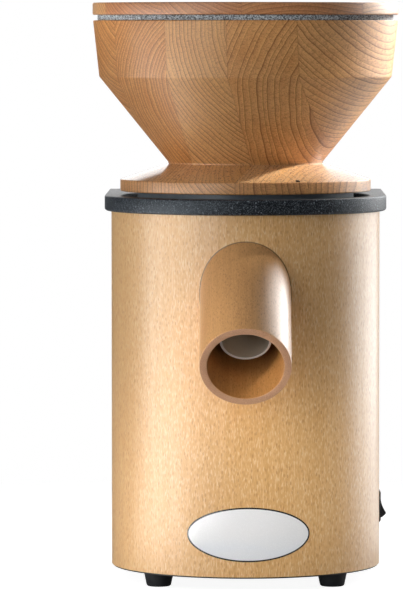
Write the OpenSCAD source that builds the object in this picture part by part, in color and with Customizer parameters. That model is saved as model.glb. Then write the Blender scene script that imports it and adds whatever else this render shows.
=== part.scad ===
// Electric grain mill with a turned wooden hopper.
// The front faces -Y, +Z is up, and the origin is the middle of the footprint, on the floor.
// Turning the hopper screws it up or down in the milling chamber, which sets the stones' gap.

/* [Housing] */
// Radius of the round front, and half the housing's width
body_r = 93.9; // [92:0.1:98]
// From the mill's axis to the straight back of the shell
body_back = 118.3; // [114:0.1:130]
// Height of the wooden shell
shell_h = 247.6; // [244:0.1:270]
// Wall of the bent wooden shell
shell_wall = 8.7; // [6:0.1:9]
// Thickness of the wooden back panel
back_t = 8; // [6:0.5:10]
// Side of the square corner battens
batten_w = 13; // [10:0.5:15]

/* [Top plate] */
// Thickness of the top plate
plate_t = 10.7; // [9:0.1:14]
// How far the plate stands out past the shell
plate_over = 4.7; // [1:0.1:8]
// Radius of the round recess for the adjusting ring
recess_r = 86.5; // [80:0.1:90]
// Depth of that recess
recess_d = 6.4; // [5:0.1:7.5]

/* [Feet] */
// Height of the rubber feet
foot_h = 9.6; // [7:0.1:14]
// Radius of a foot at its top
foot_r = 10.3; // [8:0.1:12]
// Feet in from the sides of the housing, to their middle
foot_side = 33.9; // [32:0.1:38]
// Rear feet in from the back of the shell, to their middle
foot_back = 23.3; // [22:0.1:28]
// Radius of the tie bolts that run up through the feet
tie_r = 2.5; // [2:0.1:3]

/* [Hopper] */
// Radius of the hopper's rim
rim_r = 106.5; // [104:0.1:112]
// How much narrower than the rim the ridge between collar and cone is
collar_taper = 4.3; // [1:0.1:8]
// Radius at the waist, where the cone meets the base disc
waist_r = 54; // [52:0.1:60]
// Height of the near-upright collar
collar_h = 39.2; // [30:0.1:50]
// Height of the cone
cone_h = 60.5; // [50:0.1:75]
// Wall of the hopper, measured level at the ridge
hopper_wall = 11.5; // [8:0.1:13]
// Radius of the base disc
disc_r = 87.6; // [84:0.1:92]
// Height of the base disc's upright edge
disc_edge_h = 8.2; // [7:0.1:10]
// Height of the base disc's flat cone
disc_cone_h = 11.1; // [9:0.1:14]
// Radius of the hole through which grain drops to the stones
throat_r = 17; // [15:0.1:18]

/* [Lid] */
// How far the lid stands out past the hopper's rim
lid_over = 0.3; // [0:0.1:3]
// Thickness of the lid's disc
lid_t = 8.5; // [6:0.1:12]
// Depth of the boss that locates the lid in the hopper
boss_h = 7.8; // [5:0.1:10]
// Clearance between that boss and the inside of the rim
boss_clear = 1.5; // [0.5:0.1:2.5]
// Thickness of the felt ring under the lid
felt_t = 3.8; // [2:0.1:5]
// Felt ring's edge in from the hopper's rim
felt_inset = 3.1; // [1:0.1:5]

/* [Adjusting ring] */
// Radius of the ring's flange
ring_r = 75.6; // [74:0.1:79]
// How far the flange stands above the top plate
ring_rise = 3; // [2:0.1:6]
// Thickness of the flange
ring_t = 7.9; // [6.5:0.1:8.2]
// Radius of the thread in the milling chamber
thread_r = 60; // [59.5:0.1:61]
// Length of the ring's threaded skirt below its flange
skirt_h = 10; // [9:0.1:10.5]
// Setting mark, in degrees to the right of the front
mark_angle = 24.8; // [0:0.1:60]
// Radius of the setting mark
mark_r = 1.45; // [1:0.05:2]

/* [Stones] */
// Radius of both millstones
stone_r = 45; // [42:0.5:46]
// Thickness of each stone
stone_t = 18; // [16:0.5:18.5]
// Gap between the stones
stone_gap = 0.3; // [0.2:0.05:0.8]
// Radius of the upper stone's eye
eye_r = 14; // [12:0.5:16]
// Radius of the lower stone's hole
stone_bore_r = 9; // [8.5:0.1:10]
// Thickness of the carrier's disc
carrier_t = 6; // [5:0.5:7]
// Height of the vanes that sweep the flour to the spout
vane_h = 4.5; // [3:0.5:5]
// Number of vanes
vane_count = 6; // [3:1:8]

/* [Milling chamber] */
// Radius inside the chamber
chamber_r = 56; // [55.5:0.1:57]
// Depth of the chamber's floor below the top plate
chamber_depth = 48.2; // [47.5:0.1:50]
// Wall of the chamber
chamber_wall = 4; // [3:0.1:5]
// Thickness of the chamber's floor
floor_t = 5; // [4:0.1:6]
// Thickness of the chamber's fixing flange
flange_t = 6; // [5:0.1:8]
// Radius of the fixing flange
flange_r = 72; // [71:0.1:73]
// Thickness of the gasket on the flange
gasket_t = 1; // [0.5:0.1:2]

/* [Spout] */
// Tilt of the spout below the level
spout_tilt = 40; // [38:0.5:42]
// Tilt of the mouth's plane, from upright
mouth_tilt = 31.1; // [28:0.1:40]
// Outer radius of the spout
spout_r = 31.06; // [29:0.01:33]
// Wall of the spout
spout_wall = 5.2; // [4:0.1:6]
// Where the spout's axis leaves the shell, below the top plate
spout_drop = 59; // [56:0.1:62]
// From there to the mouth, along the axis
spout_reach = 63.3; // [58:0.1:70]
// Outer radius of the liner tube
liner_r = 17.6; // [16:0.1:18]
// Wall of the liner tube
liner_wall = 1.8; // [1.2:0.1:2.5]
// How far the liner ends behind the mouth
liner_back = 25; // [15:0.5:35]

/* [Badge] */
// Width of the oval badge
badge_w = 84; // [60:1:90]
// Height of the oval badge
badge_h = 37.4; // [25:0.1:40]
// Height of the badge's middle above the floor
badge_z = 39.9; // [38:0.1:60]
// Sideways place of the badge
badge_x = 2; // [-3:0.1:3]
// Thickness of the badge
badge_t = 0.6; // [0.4:0.1:1.5]

/* [Switch] */
// Height of the switch's bezel
bezel_h = 22.6; // [22:0.1:26]
// Width of the bezel
bezel_w = 15.6; // [15:0.1:20]
// Thickness of the bezel
bezel_t = 1.7; // [1.2:0.1:2.5]
// Height of the switch above the floor
switch_z = 48; // [44:0.5:90]
// Switch behind the mill's axis
switch_back = 24; // [20:0.5:40]
// Radius of the rocker's rounded ends, about its pivot
rocker_r = 9; // [8.5:0.1:9.2]
// Width of the rocker
rocker_w = 10.6; // [9:0.1:11]
// Tilt of the rocker each way from its middle place
rocker_tilt = 16; // [12:0.5:17]

/* [Motor] */
// Radius of the motor
motor_r = 58; // [57:0.1:59]
// Height of the stator's stack
stack_h = 60; // [50:1:62]
// Radius inside the stator
stator_in_r = 30; // [28:0.1:31]
// Air gap between the rotor and the stator
air_gap = 0.4; // [0.3:0.05:0.8]
// Number of slots in the stator
slot_count = 24; // [18:6:24]
// Height of the upper end bell
upper_bell_h = 35; // [34:0.5:38]
// Height of the lower end bell
lower_bell_h = 32; // [31:0.5:35]
// Radius of the shaft in its bearings
shaft_r = 7.5; // [7:0.1:7.6]
// Radius of the fan
fan_r = 54; // [45:0.5:55]
// Number of fan blades
blade_count = 9; // [5:1:12]

/* [Bearings] */
// Outer radius of a bearing
bearing_r = 17.5; // [17:0.1:18]
// Width of a bearing
bearing_w = 11; // [9:0.1:11]
// Radius of a ball
ball_r = 2.4; // [2:0.1:2.6]
// Balls in each bearing
ball_count = 8; // [6:1:9]

/* [Electrics] */
// Radius of the motor's capacitor
cap_r = 17.5; // [14:0.5:18]
// Height of the capacitor
cap_h = 74; // [60:1:80]
// Room between the capacitor's clip and the tie bolt beside it
cap_room = 8; // [2:0.5:10]
// Length of the clip's stem from the back panel
cap_stem = 5.8; // [3:0.1:8]
// Radius of a lead's insulation
lead_r = 1.3; // [1:0.1:1.6]
// Radius of the hole through the cable gland
gland_bore_r = 3.6; // [3:0.1:4.2]
// Gland to the right of the middle
gland_x = 44; // [42:1:50]
// Gland above the floor
gland_z = 38; // [34:1:46]

/* [Hidden] */

$fn = 96;
FINE = 32; // facets of small round pieces
fit = 0.05; // radial clearance of fitted and turning pieces
gap = 0.3; // clearance between pieces that only lie beside each other
cut = 1; // how far a cutting solid runs past what it cuts

// Levels above the floor
lip_t = 1; // edge of the base plate under the shell
z_shell = foot_h + lip_t;
z_plate = z_shell + shell_h;
z_plate_top = z_plate + plate_t;
z_recess = z_plate_top - recess_d;
z_ring = z_plate_top + ring_rise;
z_ring_low = z_ring - ring_t;
z_skirt = z_ring_low - skirt_h;
z_edge = z_ring + disc_edge_h;
z_waist = z_edge + disc_cone_h;
z_ridge = z_waist + cone_h;
z_rim = z_ridge + collar_h;
z_lid = z_rim + felt_t;

// Milling chamber and stones
z_floor = z_plate - chamber_depth;
z_motor = z_floor - floor_t;
chamber_out = thread_r + chamber_wall;
vane_clear = 1.5;
z_hub = z_floor + vane_clear;
z_carrier = z_hub + vane_h;
z_lower_stone = z_carrier + carrier_t;
z_grind = z_lower_stone + stone_t;
z_upper_stone = z_grind + stone_gap;
z_upper_top = z_upper_stone + stone_t;
z_throat = z_upper_top + 1;
z_thread = z_skirt - 1;
throat_wall = 4;
skirt_wall = 10;
lug_t = 5;
lug_w = 14;
lug_root = 3;
holder_drop = 4;
lug_angles = [60, 180, 300];
spring_h = 6;
spring_wire = 0.35;
spring_turns = 3.5;
spring_steps = 14;
spring_sides = 6;
spring_coil_r = (thread_r - chamber_r) / 2 - spring_wire;
spring_place = thread_r - spring_coil_r - spring_wire - 2 * fit;
z_lug = z_skirt - lug_t;
z_pocket = z_lug - spring_h;
carrier_r = stone_r - 0.5;
vane_r = chamber_r - vane_clear;
vane_t = 3;
spigot_h = 5;
grind_w = 20.25; // flat rim of the lower stone, where it grinds
feed_w = 6;
feed_d = 3;
eye_flare = 4;
eye_feed = 7;
flange_screw_r = (chamber_out + flange_r) / 2;

// Hopper: its funnel line runs from the throat to the inside of the ridge
ridge_r = rim_r - collar_taper;
lid_r = rim_r + lid_over;
felt_r = rim_r - felt_inset;
lid_edge = 1;
ridge_in = ridge_r - hopper_wall;
funnel_slope = (ridge_in - throat_r) / (z_ridge - z_throat);
rim_in = rim_r - hopper_wall + 1.5;
ridge_step_r = 1;
ridge_step_h = 3;
mark_in = 2.4;
mark_floor = 2;
function funnel_r(z) = throat_r + (z - z_throat) * funnel_slope;
tenon_h = 4;
tenon_r = waist_r - 6;

// Plan of the housing: the mill's axis lies behind the origin by axis_y
mouth_bend = spout_tilt - mouth_tilt;
mouth_front = body_r + spout_reach * cos(spout_tilt) + spout_r / cos(mouth_bend) * sin(mouth_tilt);
plate_back = body_back + plate_over;
axis_y = (mouth_front - plate_back) / 2;
shell_in = body_r - shell_wall;
plug_r = shell_in - gap;
plug_t = 6;
z_plug = z_shell + plug_t;
panel_front = body_back - back_t;
rib_t = 3.4;
rib_h = 4;

// Tie bolts: the front ones stand as far out as the shell lets their inserts
insert_r = 3.8;
insert_h = 12;
insert_wall = 1.7;
boss_r = insert_r + insert_wall;
foot_x = body_r - foot_side;
foot_front = sqrt(pow(shell_in - boss_r - gap, 2) - foot_x * foot_x);
foot_rear = body_back - foot_back;
tie_places = [for (x = [-foot_x, foot_x], y = [-foot_front, foot_rear]) [x, y]];
tie_head_r = 5;
tie_head_h = 4;
tie_head_z = 2;
tie_end = 2;
foot_taper = 1.8;
foot_round = 1.5;
z_insert = z_plate - 1 - insert_h;

// Screws
screw_r = 2;
screw_head_r = 3.8;
screw_head_h = 2.2;
small_screw_r = 1.7;
panel_screws = 4;
panel_screw_in = 24;
batten_floor = 3;
screw_levels = [for (i = [0 : panel_screws - 1])
    z_plug + panel_screw_in + i * (shell_h - plug_t - 2 * panel_screw_in) / (panel_screws - 1)];

// Spout, along its own axis from where that leaves the shell
spout_z = z_plate - spout_drop;
spout_in = spout_r - spout_wall;
spout_root = (shell_wall + spout_r * sin(spout_tilt)) / cos(spout_tilt) + 3;
liner_end = spout_reach - liner_back;
liner_start = -(body_r - (chamber_out + 4)) / cos(spout_tilt);
port_wall = 3;
port_socket = 11;
port_root = 20;
port_run = 60;
port_end = liner_start + port_socket;
port_r = liner_r + port_wall;
collar_t = 6;

// Motor, hung under the chamber
z_stack_top = z_motor - upper_bell_h;
z_stack = z_stack_top - stack_h;
z_lower_bell = z_stack - lower_bell_h;
bell_in = motor_r - 8;
bell_wall = 6;
bell_window_w = 30;
bell_window_h = 12;
bell_window_top = 6;
motor_room = 1;
shaft_clear = 1.5;
seat_r = bearing_r + 4;
bolt_place = (motor_r + bell_in) / 2 - 0.5;
slot_out = bell_in - 3;
slot_w = 4.2;
slot_mouth_w = 1.5;
tooth_tip = 2;
winding_h = 16;
winding_in = stator_in_r + 3;
rotor_r = stator_in_r - air_gap;
core_bore = shaft_r + shaft_clear;
ring_h = 6;
bolt_end = 3;
z_bearing_low = z_lower_bell + bell_wall;
z_bearing_high = z_motor - bell_wall - bearing_w;
motor_screw_place = 40;
shroud_wall = 2;
shroud_r = motor_r + 0.5 + shroud_wall;
shroud_flange = 2;
shroud_lip_r = 46;
fan_drop = 28;
z_fan = z_lower_bell - fan_drop;
fan_h = 16;
fan_disc_t = 2;
fan_hub_r = 12;
blade_t = 2;
blade_in = 1;
shroud_drop = 8;
z_shroud = z_fan - shroud_drop;
z_shaft = z_fan - shroud_drop / 2;
clip_t = 1.5;
clip_groove = 0.8;
clip_rim = 2.5;
clip_gap = 4;
head_r = 3.4;
head_h = 3.5;
stub_r = shaft_r - shaft_clear;
carrier_hub_r = 12;
z_stub = z_hub - 0.5;
stub_floor = 4;
bolt_head_h = 5;
bolt_flat = 1.5;
key_w = 3;
key_over = 3;
key_up = 1;
seal_r = 16;

// Bearings
race_wall = 2.6;
race_in = shaft_r + race_wall;
race_out = bearing_r - race_wall;
ball_place = (shaft_r + bearing_r) / 2;
cage_t = 0.8;
bearing_levels = [z_bearing_low, z_bearing_high];

// Switch
bezel_edge = 0.8;
pivot_in = 2;
rocker_corner = 49.7;
rocker_face = rocker_r * cos(rocker_corner);
rocker_hollow_r = 21;
rocker_dip = 1.15;
rocker_base = 2.5;
pin_r = 1.2;
pin_l = 0.7;
window_h = 2 * (rocker_r + gap);
window_w = rocker_w + 2 * gap;
frame_wall = 1;
frame_h = window_h + 2 * frame_wall;
frame_w = window_w + 2 * frame_wall;
frame_depth = 20;
blade_l = 8;
blade_w = 4.8;
blade_h = 0.8;
blade_places = [-6, 0, 6];

// Electrics
block_w = 28;
block_d = 12;
block_h = 14;
block_x = 20;
block_drop = 9.3;
lead_level = z_stack - winding_h + lead_r;
block_z = lead_level - block_drop - block_h;
terminals = 5;
terminal_depth = 4;
terminal_screw_l = 3;
pitch = block_w / terminals;
clip_wall = 2;
clip_h = 12;
clip_lift = 32;
clip_z = z_plug + clip_lift;
clip_tab_w = 46;
clip_tab_t = 2.4;
clip_stem_w = 10;
clip_screw_in = 4;
clip_screw_r = 1.5;
clip_head_r = 3;
clip_head_h = 1.5;
cap_x = foot_x - tie_r - clip_wall - cap_r - cap_room;
cap_back = panel_front - cap_r - cap_stem;
tag_x = 5;
tag_h = 7;
lead_bend = 4;
bend_swell = 0.12;
bend_overlap = 0.4;
lead_step = 4;
motor_lead_pitch = 6;
motor_lead_out = 6;
switch_lead_out = 10;
switch_lead_up = 8;
switch_lead_turn = 30;
cap_lead_up = 8;
cap_lead_side = 6;
cap_lead_drop = 6;
block_back = panel_front;
block_front = block_back - block_d;
function terminal_x(i) = block_x + (i + 0.5) * pitch;

// Gland
gland_flange_r = 10;
gland_flange_t = 3.5;
gland_barrel_r = 7;
gland_inside = 8;
nut_t = 4;
nut_over = 3;

// Vents
vent_w = 4;
back_vent_l = 104;
base_vent_l = 84;
vent_pitch = 9;
vent_drop = 40;
back_vents = 7;
base_vents = 9;

// ---- Helpers ----

// Puts children on the mill's axis, at a level
module mill(z = 0) { translate([0, axis_y, z]) children(); }

// Puts children at each angle on a circle about the mill's axis
module around(count, r, z, start = 0) {
    for (i = [0 : count - 1])
        mill(z) rotate(start + i * 360 / count) translate([r, 0, 0]) children();
}

// Puts children on the spout's axis, with +Z along it and +Y on its upper side
module spout_axis(along = 0) {
    translate([0, axis_y - body_r, spout_z]) rotate([90 + spout_tilt, 0, 0])
        translate([0, 0, along]) children();
}

// Outline of the housing: round in front, straight at the sides and the back
module plan(r, back) {
    circle(r = r);
    translate([-r, 0]) square([2 * r, back]);
}

// Tube or ring with a flat end at each level
module tube(r_out, r_in, h) {
    rotate_extrude() translate([r_in, 0]) square([r_out - r_in, h]);
}

// Countersunk screw that points up, with the flat of its head at zero
module countersunk(l, r = screw_r, head = screw_head_r) {
    cylinder(h = screw_head_h, r1 = head, r2 = r, $fn = FINE);
    cylinder(h = l, r = r, $fn = FINE);
}

// Countersunk hole for that screw
module countersink(l, r = screw_r, head = screw_head_r) {
    translate([0, 0, -cut]) cylinder(h = cut + fit, r = head + fit, $fn = FINE);
    cylinder(h = screw_head_h, r1 = head + fit, r2 = r + fit, $fn = FINE);
    cylinder(h = l, r = r + fit, $fn = FINE);
}

// Vent slot with round ends, along X
module slot(l, w, h) {
    for (side = [-1, 1]) translate([side * (l - w) / 2, 0, 0]) cylinder(h = h, d = w, $fn = FINE);
    translate([-(l - w) / 2, -w / 2, 0]) cube([l - w, w, h]);
}

// Unit vector along a, and the turn between two of them
function unit(a) = a / norm(a);
function turn(u, v) = acos(min(1, max(-1, u * v)));

// How far a bend cuts back the straight runs beside point i of a lead
function trim(p, i) = i == 0 || i == len(p) - 1 ? 0 :
    lead_bend * tan(turn(unit(p[i] - p[i - 1]), unit(p[i + 1] - p[i])) / 2);

// Insulated lead through a list of points. It bends round each point between, a little
// thicker there, where its insulation is pressed, and each straight run ends inside a bend.
module lead(points) {
    for (i = [0 : len(points) - 2]) {
        u = unit(points[i + 1] - points[i]);
        from = points[i] + max(0, trim(points, i) - bend_overlap) * u;
        run = points[i + 1] - max(0, trim(points, i + 1) - bend_overlap) * u - from;
        translate(from) rotate([0, atan2(norm([run[0], run[1]]), run[2]), atan2(run[1], run[0])])
            cylinder(h = norm(run), r = lead_r, $fn = FINE);
    }
    for (i = [1 : len(points) - 2]) {
        u = unit(points[i] - points[i - 1]);
        v = unit(points[i + 1] - points[i]);
        w = unit(v - (u * v) * u);
        n = cross(u, w);
        c = points[i] - trim(points, i) * u + lead_bend * w;
        multmatrix([[-w[0], u[0], n[0], c[0]], [-w[1], u[1], n[1], c[1]],
            [-w[2], u[2], n[2], c[2]], [0, 0, 0, 1]])
            rotate_extrude(angle = turn(u, v)) translate([lead_bend, 0])
                circle(r = lead_r + bend_swell, $fn = FINE);
    }
}

// ---- Housing ----

module housing_shell() {
    color("burlywood") difference() {
        mill(z_shell) linear_extrude(shell_h) difference() {
            plan(body_r, body_back);
            plan(shell_in, body_back + cut);
        }
        spout_axis(-body_r) cylinder(h = 2 * body_r, r = spout_r + fit);
        switch_place() translate([-cut, -frame_w / 2 - fit, -frame_h / 2 - fit])
            cube([shell_wall + 2 * cut, frame_w + 2 * fit, frame_h + 2 * fit]);
    }
}

module back_panel() {
    color("tan") difference() {
        mill(z_shell) translate([-shell_in + fit, panel_front, 0])
            cube([2 * (shell_in - fit), back_t, shell_h]);
        back_screw_places() countersink(back_t + cut);
        for (i = [0 : back_vents - 1])
            mill(z_plate - vent_drop - i * vent_pitch) translate([0, panel_front - cut, 0])
                rotate([-90, 0, 0]) slot(back_vent_l, vent_w, back_t + 2 * cut);
        gland_place() translate([0, 0, -cut])
            cylinder(h = body_back, r = gland_barrel_r + fit);
    }
}

// Puts children at each back screw, pointing in from the back face
module back_screw_places() {
    for (z = screw_levels, side = [-1, 1])
        mill(z) translate([side * (shell_in - batten_w / 2), body_back, 0])
            rotate([90, 0, 0]) children();
}

module back_battens() {
    color("peru") difference() {
        for (side = [-1, 1])
            mill(z_plug + gap)
                translate([side > 0 ? shell_in - fit - batten_w : -shell_in + fit,
                    panel_front - batten_w, 0])
                    cube([batten_w, batten_w, z_plate - rib_h - gap - z_plug - gap]);
        back_screw_places() countersink(back_t + batten_w - batten_floor);
    }
}

module back_screws() {
    color("silver") back_screw_places() countersunk(back_t + batten_w - batten_floor - cut);
}

module base_plate() {
    color("dimgray") difference() {
        union() {
            mill(foot_h) linear_extrude(lip_t) plan(body_r - lip_t, body_back - lip_t);
            mill(z_shell) linear_extrude(plug_t) plan(plug_r, panel_front - gap);
        }
        for (p = tie_places)
            mill(foot_h) translate([p[0], p[1], -cut])
                cylinder(h = lip_t + plug_t + 2 * cut, r = tie_r + fit, $fn = FINE);
        for (i = [0 : base_vents - 1])
            mill(foot_h - cut) translate([0, (i - (base_vents - 1) / 2) * vent_pitch, 0])
                slot(base_vent_l, vent_w, lip_t + plug_t + 2 * cut);
    }
}

module feet() {
    color("black") difference() {
        for (p = tie_places)
            mill() translate([p[0], p[1], 0]) {
                cylinder(h = foot_round, r1 = foot_r - foot_taper - foot_round,
                    r2 = foot_r - foot_taper);
                translate([0, 0, foot_round])
                    cylinder(h = foot_h - foot_round, r1 = foot_r - foot_taper, r2 = foot_r);
            }
        for (p = tie_places)
            mill() translate([p[0], p[1], -cut]) {
                cylinder(h = foot_h + 2 * cut, r = tie_r + fit, $fn = FINE);
                cylinder(h = tie_head_z + tie_head_h + cut, r = tie_head_r + fit, $fn = FINE);
            }
    }
}

module tie_bolts() {
    color("silver") for (p = tie_places)
        mill(tie_head_z) translate([p[0], p[1], 0]) difference() {
            union() {
                cylinder(h = tie_head_h, r = tie_head_r, $fn = FINE);
                cylinder(h = z_insert + insert_h - tie_end - tie_head_z, r = tie_r, $fn = FINE);
            }
            translate([0, 0, -cut]) cylinder(h = cut + tie_head_h / 2, r = tie_r, $fn = 6);
        }
}

module plate_inserts() {
    color("goldenrod") for (p = tie_places)
        mill(z_insert) translate([p[0], p[1], 0]) tube(insert_r, tie_r + fit, insert_h);
}

module top_plate() {
    color("darkslategray") difference() {
        union() {
            mill(z_plate) linear_extrude(plate_t) plan(body_r + plate_over, plate_back);
            mill(z_plate - rib_h) linear_extrude(rib_h) difference() {
                plan(plug_r, panel_front - gap);
                plan(plug_r - rib_t, panel_front - gap - rib_t);
            }
            for (p = tie_places)
                mill(z_insert) translate([p[0], p[1], 0])
                    cylinder(h = z_plate - z_insert, r = boss_r);
        }
        mill(z_recess) cylinder(h = recess_d + cut, r = recess_r);
        mill(z_plate - cut) cylinder(h = plate_t, r = chamber_out + fit);
        for (p = tie_places)
            mill(z_insert - cut) translate([p[0], p[1], 0])
                cylinder(h = insert_h + cut, r = insert_r + fit, $fn = FINE);
        around(4, flange_screw_r, z_recess) rotate([180, 0, 0]) countersink(plate_t + cut);
    }
}

// Room for the tie bolts' bosses beside the flange
module boss_room(z, h) {
    for (p = tie_places) mill(z - cut) translate([p[0], p[1], 0])
        cylinder(h = h + 2 * cut, r = boss_r + gap);
}

// ---- Milling chamber ----

module milling_chamber() {
    color("darkgray") difference() {
        union() {
            mill(z_motor) cylinder(h = z_recess - z_motor, r = chamber_out);
            difference() {
                mill(z_plate - gasket_t - flange_t) cylinder(h = flange_t, r = flange_r);
                boss_room(z_plate - gasket_t - flange_t, flange_t);
            }
            difference() {
                spout_axis(liner_start - port_root) cylinder(h = port_root + port_socket, r = port_r);
                mill(z_motor - port_root - cut)
                    cylinder(h = port_root + cut, r = motor_r + motor_room);
            }
        }
        mill(z_floor) cylinder(h = z_recess, r = chamber_r);
        mill(z_thread) cylinder(h = z_recess, r = thread_r);
        for (a = lug_angles) mill(z_pocket) rotate(a - 90)
            translate([chamber_r - lug_root, -lug_w / 2, 0]) intersection() {
                cube([thread_r - chamber_r + lug_root, lug_w, z_thread - z_pocket + cut]);
                translate([lug_root - chamber_r, lug_w / 2, 0])
                    cylinder(h = z_thread - z_pocket + cut, r = thread_r - 2 * fit);
            }
        mill(z_motor - cut) cylinder(h = floor_t + 2 * cut, r = seal_r + fit);
        spout_axis(liner_start - port_root) cylinder(h = port_run, r = liner_r - liner_wall);
        spout_axis(liner_start) cylinder(h = port_run, r = liner_r + fit);
        around(4, motor_screw_place, z_floor, 45) rotate([180, 0, 0]) countersink(floor_t + cut);
        around(4, flange_screw_r, z_recess) rotate([180, 0, 0])
            cylinder(h = recess_d + plate_t + cut, r = screw_r + fit, $fn = FINE);
    }
}

module chamber_gasket() {
    color("gray") difference() {
        mill(z_plate - gasket_t) tube(flange_r, chamber_out + fit, gasket_t);
        boss_room(z_plate - gasket_t, gasket_t);
        around(4, flange_screw_r, z_plate - gasket_t - cut)
            cylinder(h = gasket_t + 2 * cut, r = screw_r + fit, $fn = FINE);
    }
}

module chamber_screws() {
    color("silver") around(4, flange_screw_r, z_recess) rotate([180, 0, 0])
        countersunk(z_recess - z_plate + gasket_t + flange_t);
}

module shaft_seal() {
    color("beige") mill(z_motor) tube(seal_r, shaft_r + fit, floor_t);
}

// ---- Spout ----

module spout() {
    color("sandybrown") difference() {
        spout_axis(-spout_root) cylinder(h = spout_root + 2 * spout_reach, r = spout_r);
        spout_axis(-body_r) cylinder(h = 3 * body_r, r = spout_in);
        spout_axis(spout_reach) rotate([-mouth_bend, 0, 0])
            translate([-body_r, -body_r, 0]) cube([2 * body_r, 2 * body_r, body_r]);
        mill() cylinder(h = z_plate, r = shell_in);
    }
}

module chute_liner() {
    color("gainsboro") spout_axis(liner_start)
        tube(liner_r, liner_r - liner_wall, liner_end - liner_start);
}

module chute_collar() {
    color("black") spout_axis(-collar_t / 2) tube(spout_in - fit, liner_r + fit, collar_t);
}

// ---- Badge ----

module badge_plate() {
    color("white") intersection() {
        mill(badge_z - badge_h) tube(body_r + badge_t, body_r, 2 * badge_h);
        translate([badge_x, axis_y, badge_z]) rotate([90, 0, 0])
            linear_extrude(body_r + badge_t + cut)
                polygon([for (a = [0 : 360 / $fn : 359])
                    [badge_w / 2 * cos(a), badge_h / 2 * sin(a)]]);
    }
}

// ---- Switch ----

// Puts children at the switch: +X out of the wall, from the shell's inner face
module switch_place() {
    translate([shell_in, axis_y + switch_back, switch_z]) children();
}

module switch_frame() {
    color("black") difference() {
        switch_place() {
            translate([shell_wall, 0, 0]) rotate([90, 0, 0])
                translate([0, 0, -bezel_w / 2]) linear_extrude(bezel_w) polygon([
                    [0, -bezel_h / 2], [bezel_t - bezel_edge, -bezel_h / 2 + bezel_edge / 3],
                    [bezel_t, -bezel_h / 2 + 2 * bezel_edge],
                    [bezel_t, bezel_h / 2 - 2 * bezel_edge],
                    [bezel_t - bezel_edge, bezel_h / 2 - bezel_edge / 3], [0, bezel_h / 2]]);
            translate([shell_wall - frame_depth, -frame_w / 2, -frame_h / 2])
                cube([frame_depth, frame_w, frame_h]);
        }
        switch_place() translate([shell_wall - pivot_in - rocker_r - gap, -window_w / 2,
            -window_h / 2]) cube([frame_depth, window_w, window_h]);
        switch_place() translate([shell_wall - pivot_in, frame_w / 2 + cut, 0])
            rotate([90, 0, 0]) cylinder(h = frame_w + 2 * cut, r = pin_r + fit, $fn = FINE);
    }
}

module switch_blades() {
    color("gold") switch_place() for (z = blade_places)
        translate([shell_wall - frame_depth - blade_l, -blade_w / 2, z - blade_h / 2])
            cube([blade_l, blade_w, blade_h]);
}

module switch_rocker() {
    color("black") switch_place() translate([shell_wall - pivot_in, 0, 0])
        rotate([0, -rocker_tilt, 0]) rotate([90, 0, 0]) {
            translate([0, 0, -rocker_w / 2]) linear_extrude(rocker_w) difference() {
                intersection() {
                    circle(r = rocker_r);
                    translate([-rocker_base, -rocker_r])
                        square([rocker_base + rocker_face, 2 * rocker_r]);
                }
                translate([rocker_face - rocker_dip + rocker_hollow_r, 0])
                    circle(r = rocker_hollow_r);
            }
            translate([0, 0, -rocker_w / 2 - pin_l])
                cylinder(h = rocker_w + 2 * pin_l, r = pin_r, $fn = FINE);
        }
}

// ---- Motor ----

// Hollow end bell with its wall on top, its bearing seat and side windows
module end_bell(h) {
    difference() {
        cylinder(h = h, r = motor_r);
        translate([0, 0, -cut]) cylinder(h = h - bell_wall + cut, r = bell_in);
        cylinder(h = h + cut, r = shaft_r + shaft_clear);
        for (a = [0, 90]) rotate(a) translate([-motor_r - cut, -bell_window_w / 2,
            h - bell_wall - bell_window_top - bell_window_h])
            cube([2 * (motor_r + cut), bell_window_w, bell_window_h]);
    }
    translate([0, 0, h - bell_wall - bearing_w]) tube(seat_r, bearing_r + fit, bearing_w + cut);
}

module motor_upper_bell() {
    color("slategray") difference() {
        mill(z_stack_top) end_bell(upper_bell_h);
        around(4, bolt_place, z_stack_top - cut, 45)
            cylinder(h = upper_bell_h - bell_wall + cut, r = screw_r + fit, $fn = FINE);
        around(4, motor_screw_place, z_motor - bell_wall - cut, 45)
            cylinder(h = bell_wall + 2 * cut, r = screw_r + fit, $fn = FINE);
    }
}

module motor_lower_bell() {
    color("slategray") difference() {
        mill(z_stack) mirror([0, 0, 1]) end_bell(lower_bell_h);
        around(4, bolt_place, z_lower_bell - cut, 45)
            cylinder(h = lower_bell_h + 2 * cut, r = screw_r + fit, $fn = FINE);
    }
}

module motor_screws() {
    color("silver") around(4, motor_screw_place, z_floor, 45) rotate([180, 0, 0])
        countersunk(floor_t + bell_wall);
}

module through_bolts() {
    color("silver") around(4, bolt_place, z_lower_bell - shroud_flange - head_h, 45) {
        cylinder(h = head_h, r = head_r, $fn = 6);
        cylinder(h = head_h + shroud_flange + lower_bell_h + stack_h + upper_bell_h - bell_wall
            - bolt_end, r = screw_r, $fn = FINE);
    }
}

module stator_core() {
    color("lightsteelblue") difference() {
        mill(z_stack) tube(motor_r, stator_in_r, stack_h);
        around(slot_count, 0, z_stack - cut) {
            translate([stator_in_r + tooth_tip, -slot_w / 2, 0])
                cube([slot_out - stator_in_r - tooth_tip, slot_w, stack_h + 2 * cut]);
            translate([stator_in_r - cut, -slot_mouth_w / 2, 0])
                cube([tooth_tip + 2 * cut, slot_mouth_w, stack_h + 2 * cut]);
        }
        around(4, bolt_place, z_stack - cut, 45)
            cylinder(h = stack_h + 2 * cut, r = screw_r + fit, $fn = FINE);
    }
}

module stator_windings() {
    color("chocolate") {
        for (z = [z_stack - winding_h, z_stack_top])
            mill(z) tube(slot_out, winding_in, winding_h);
        around(slot_count, 0, z_stack - cut)
            translate([winding_in + cut, -slot_w / 2 + fit, 0])
                cube([slot_out - winding_in - 2 * cut, slot_w - 2 * fit, stack_h + 2 * cut]);
    }
}

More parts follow.
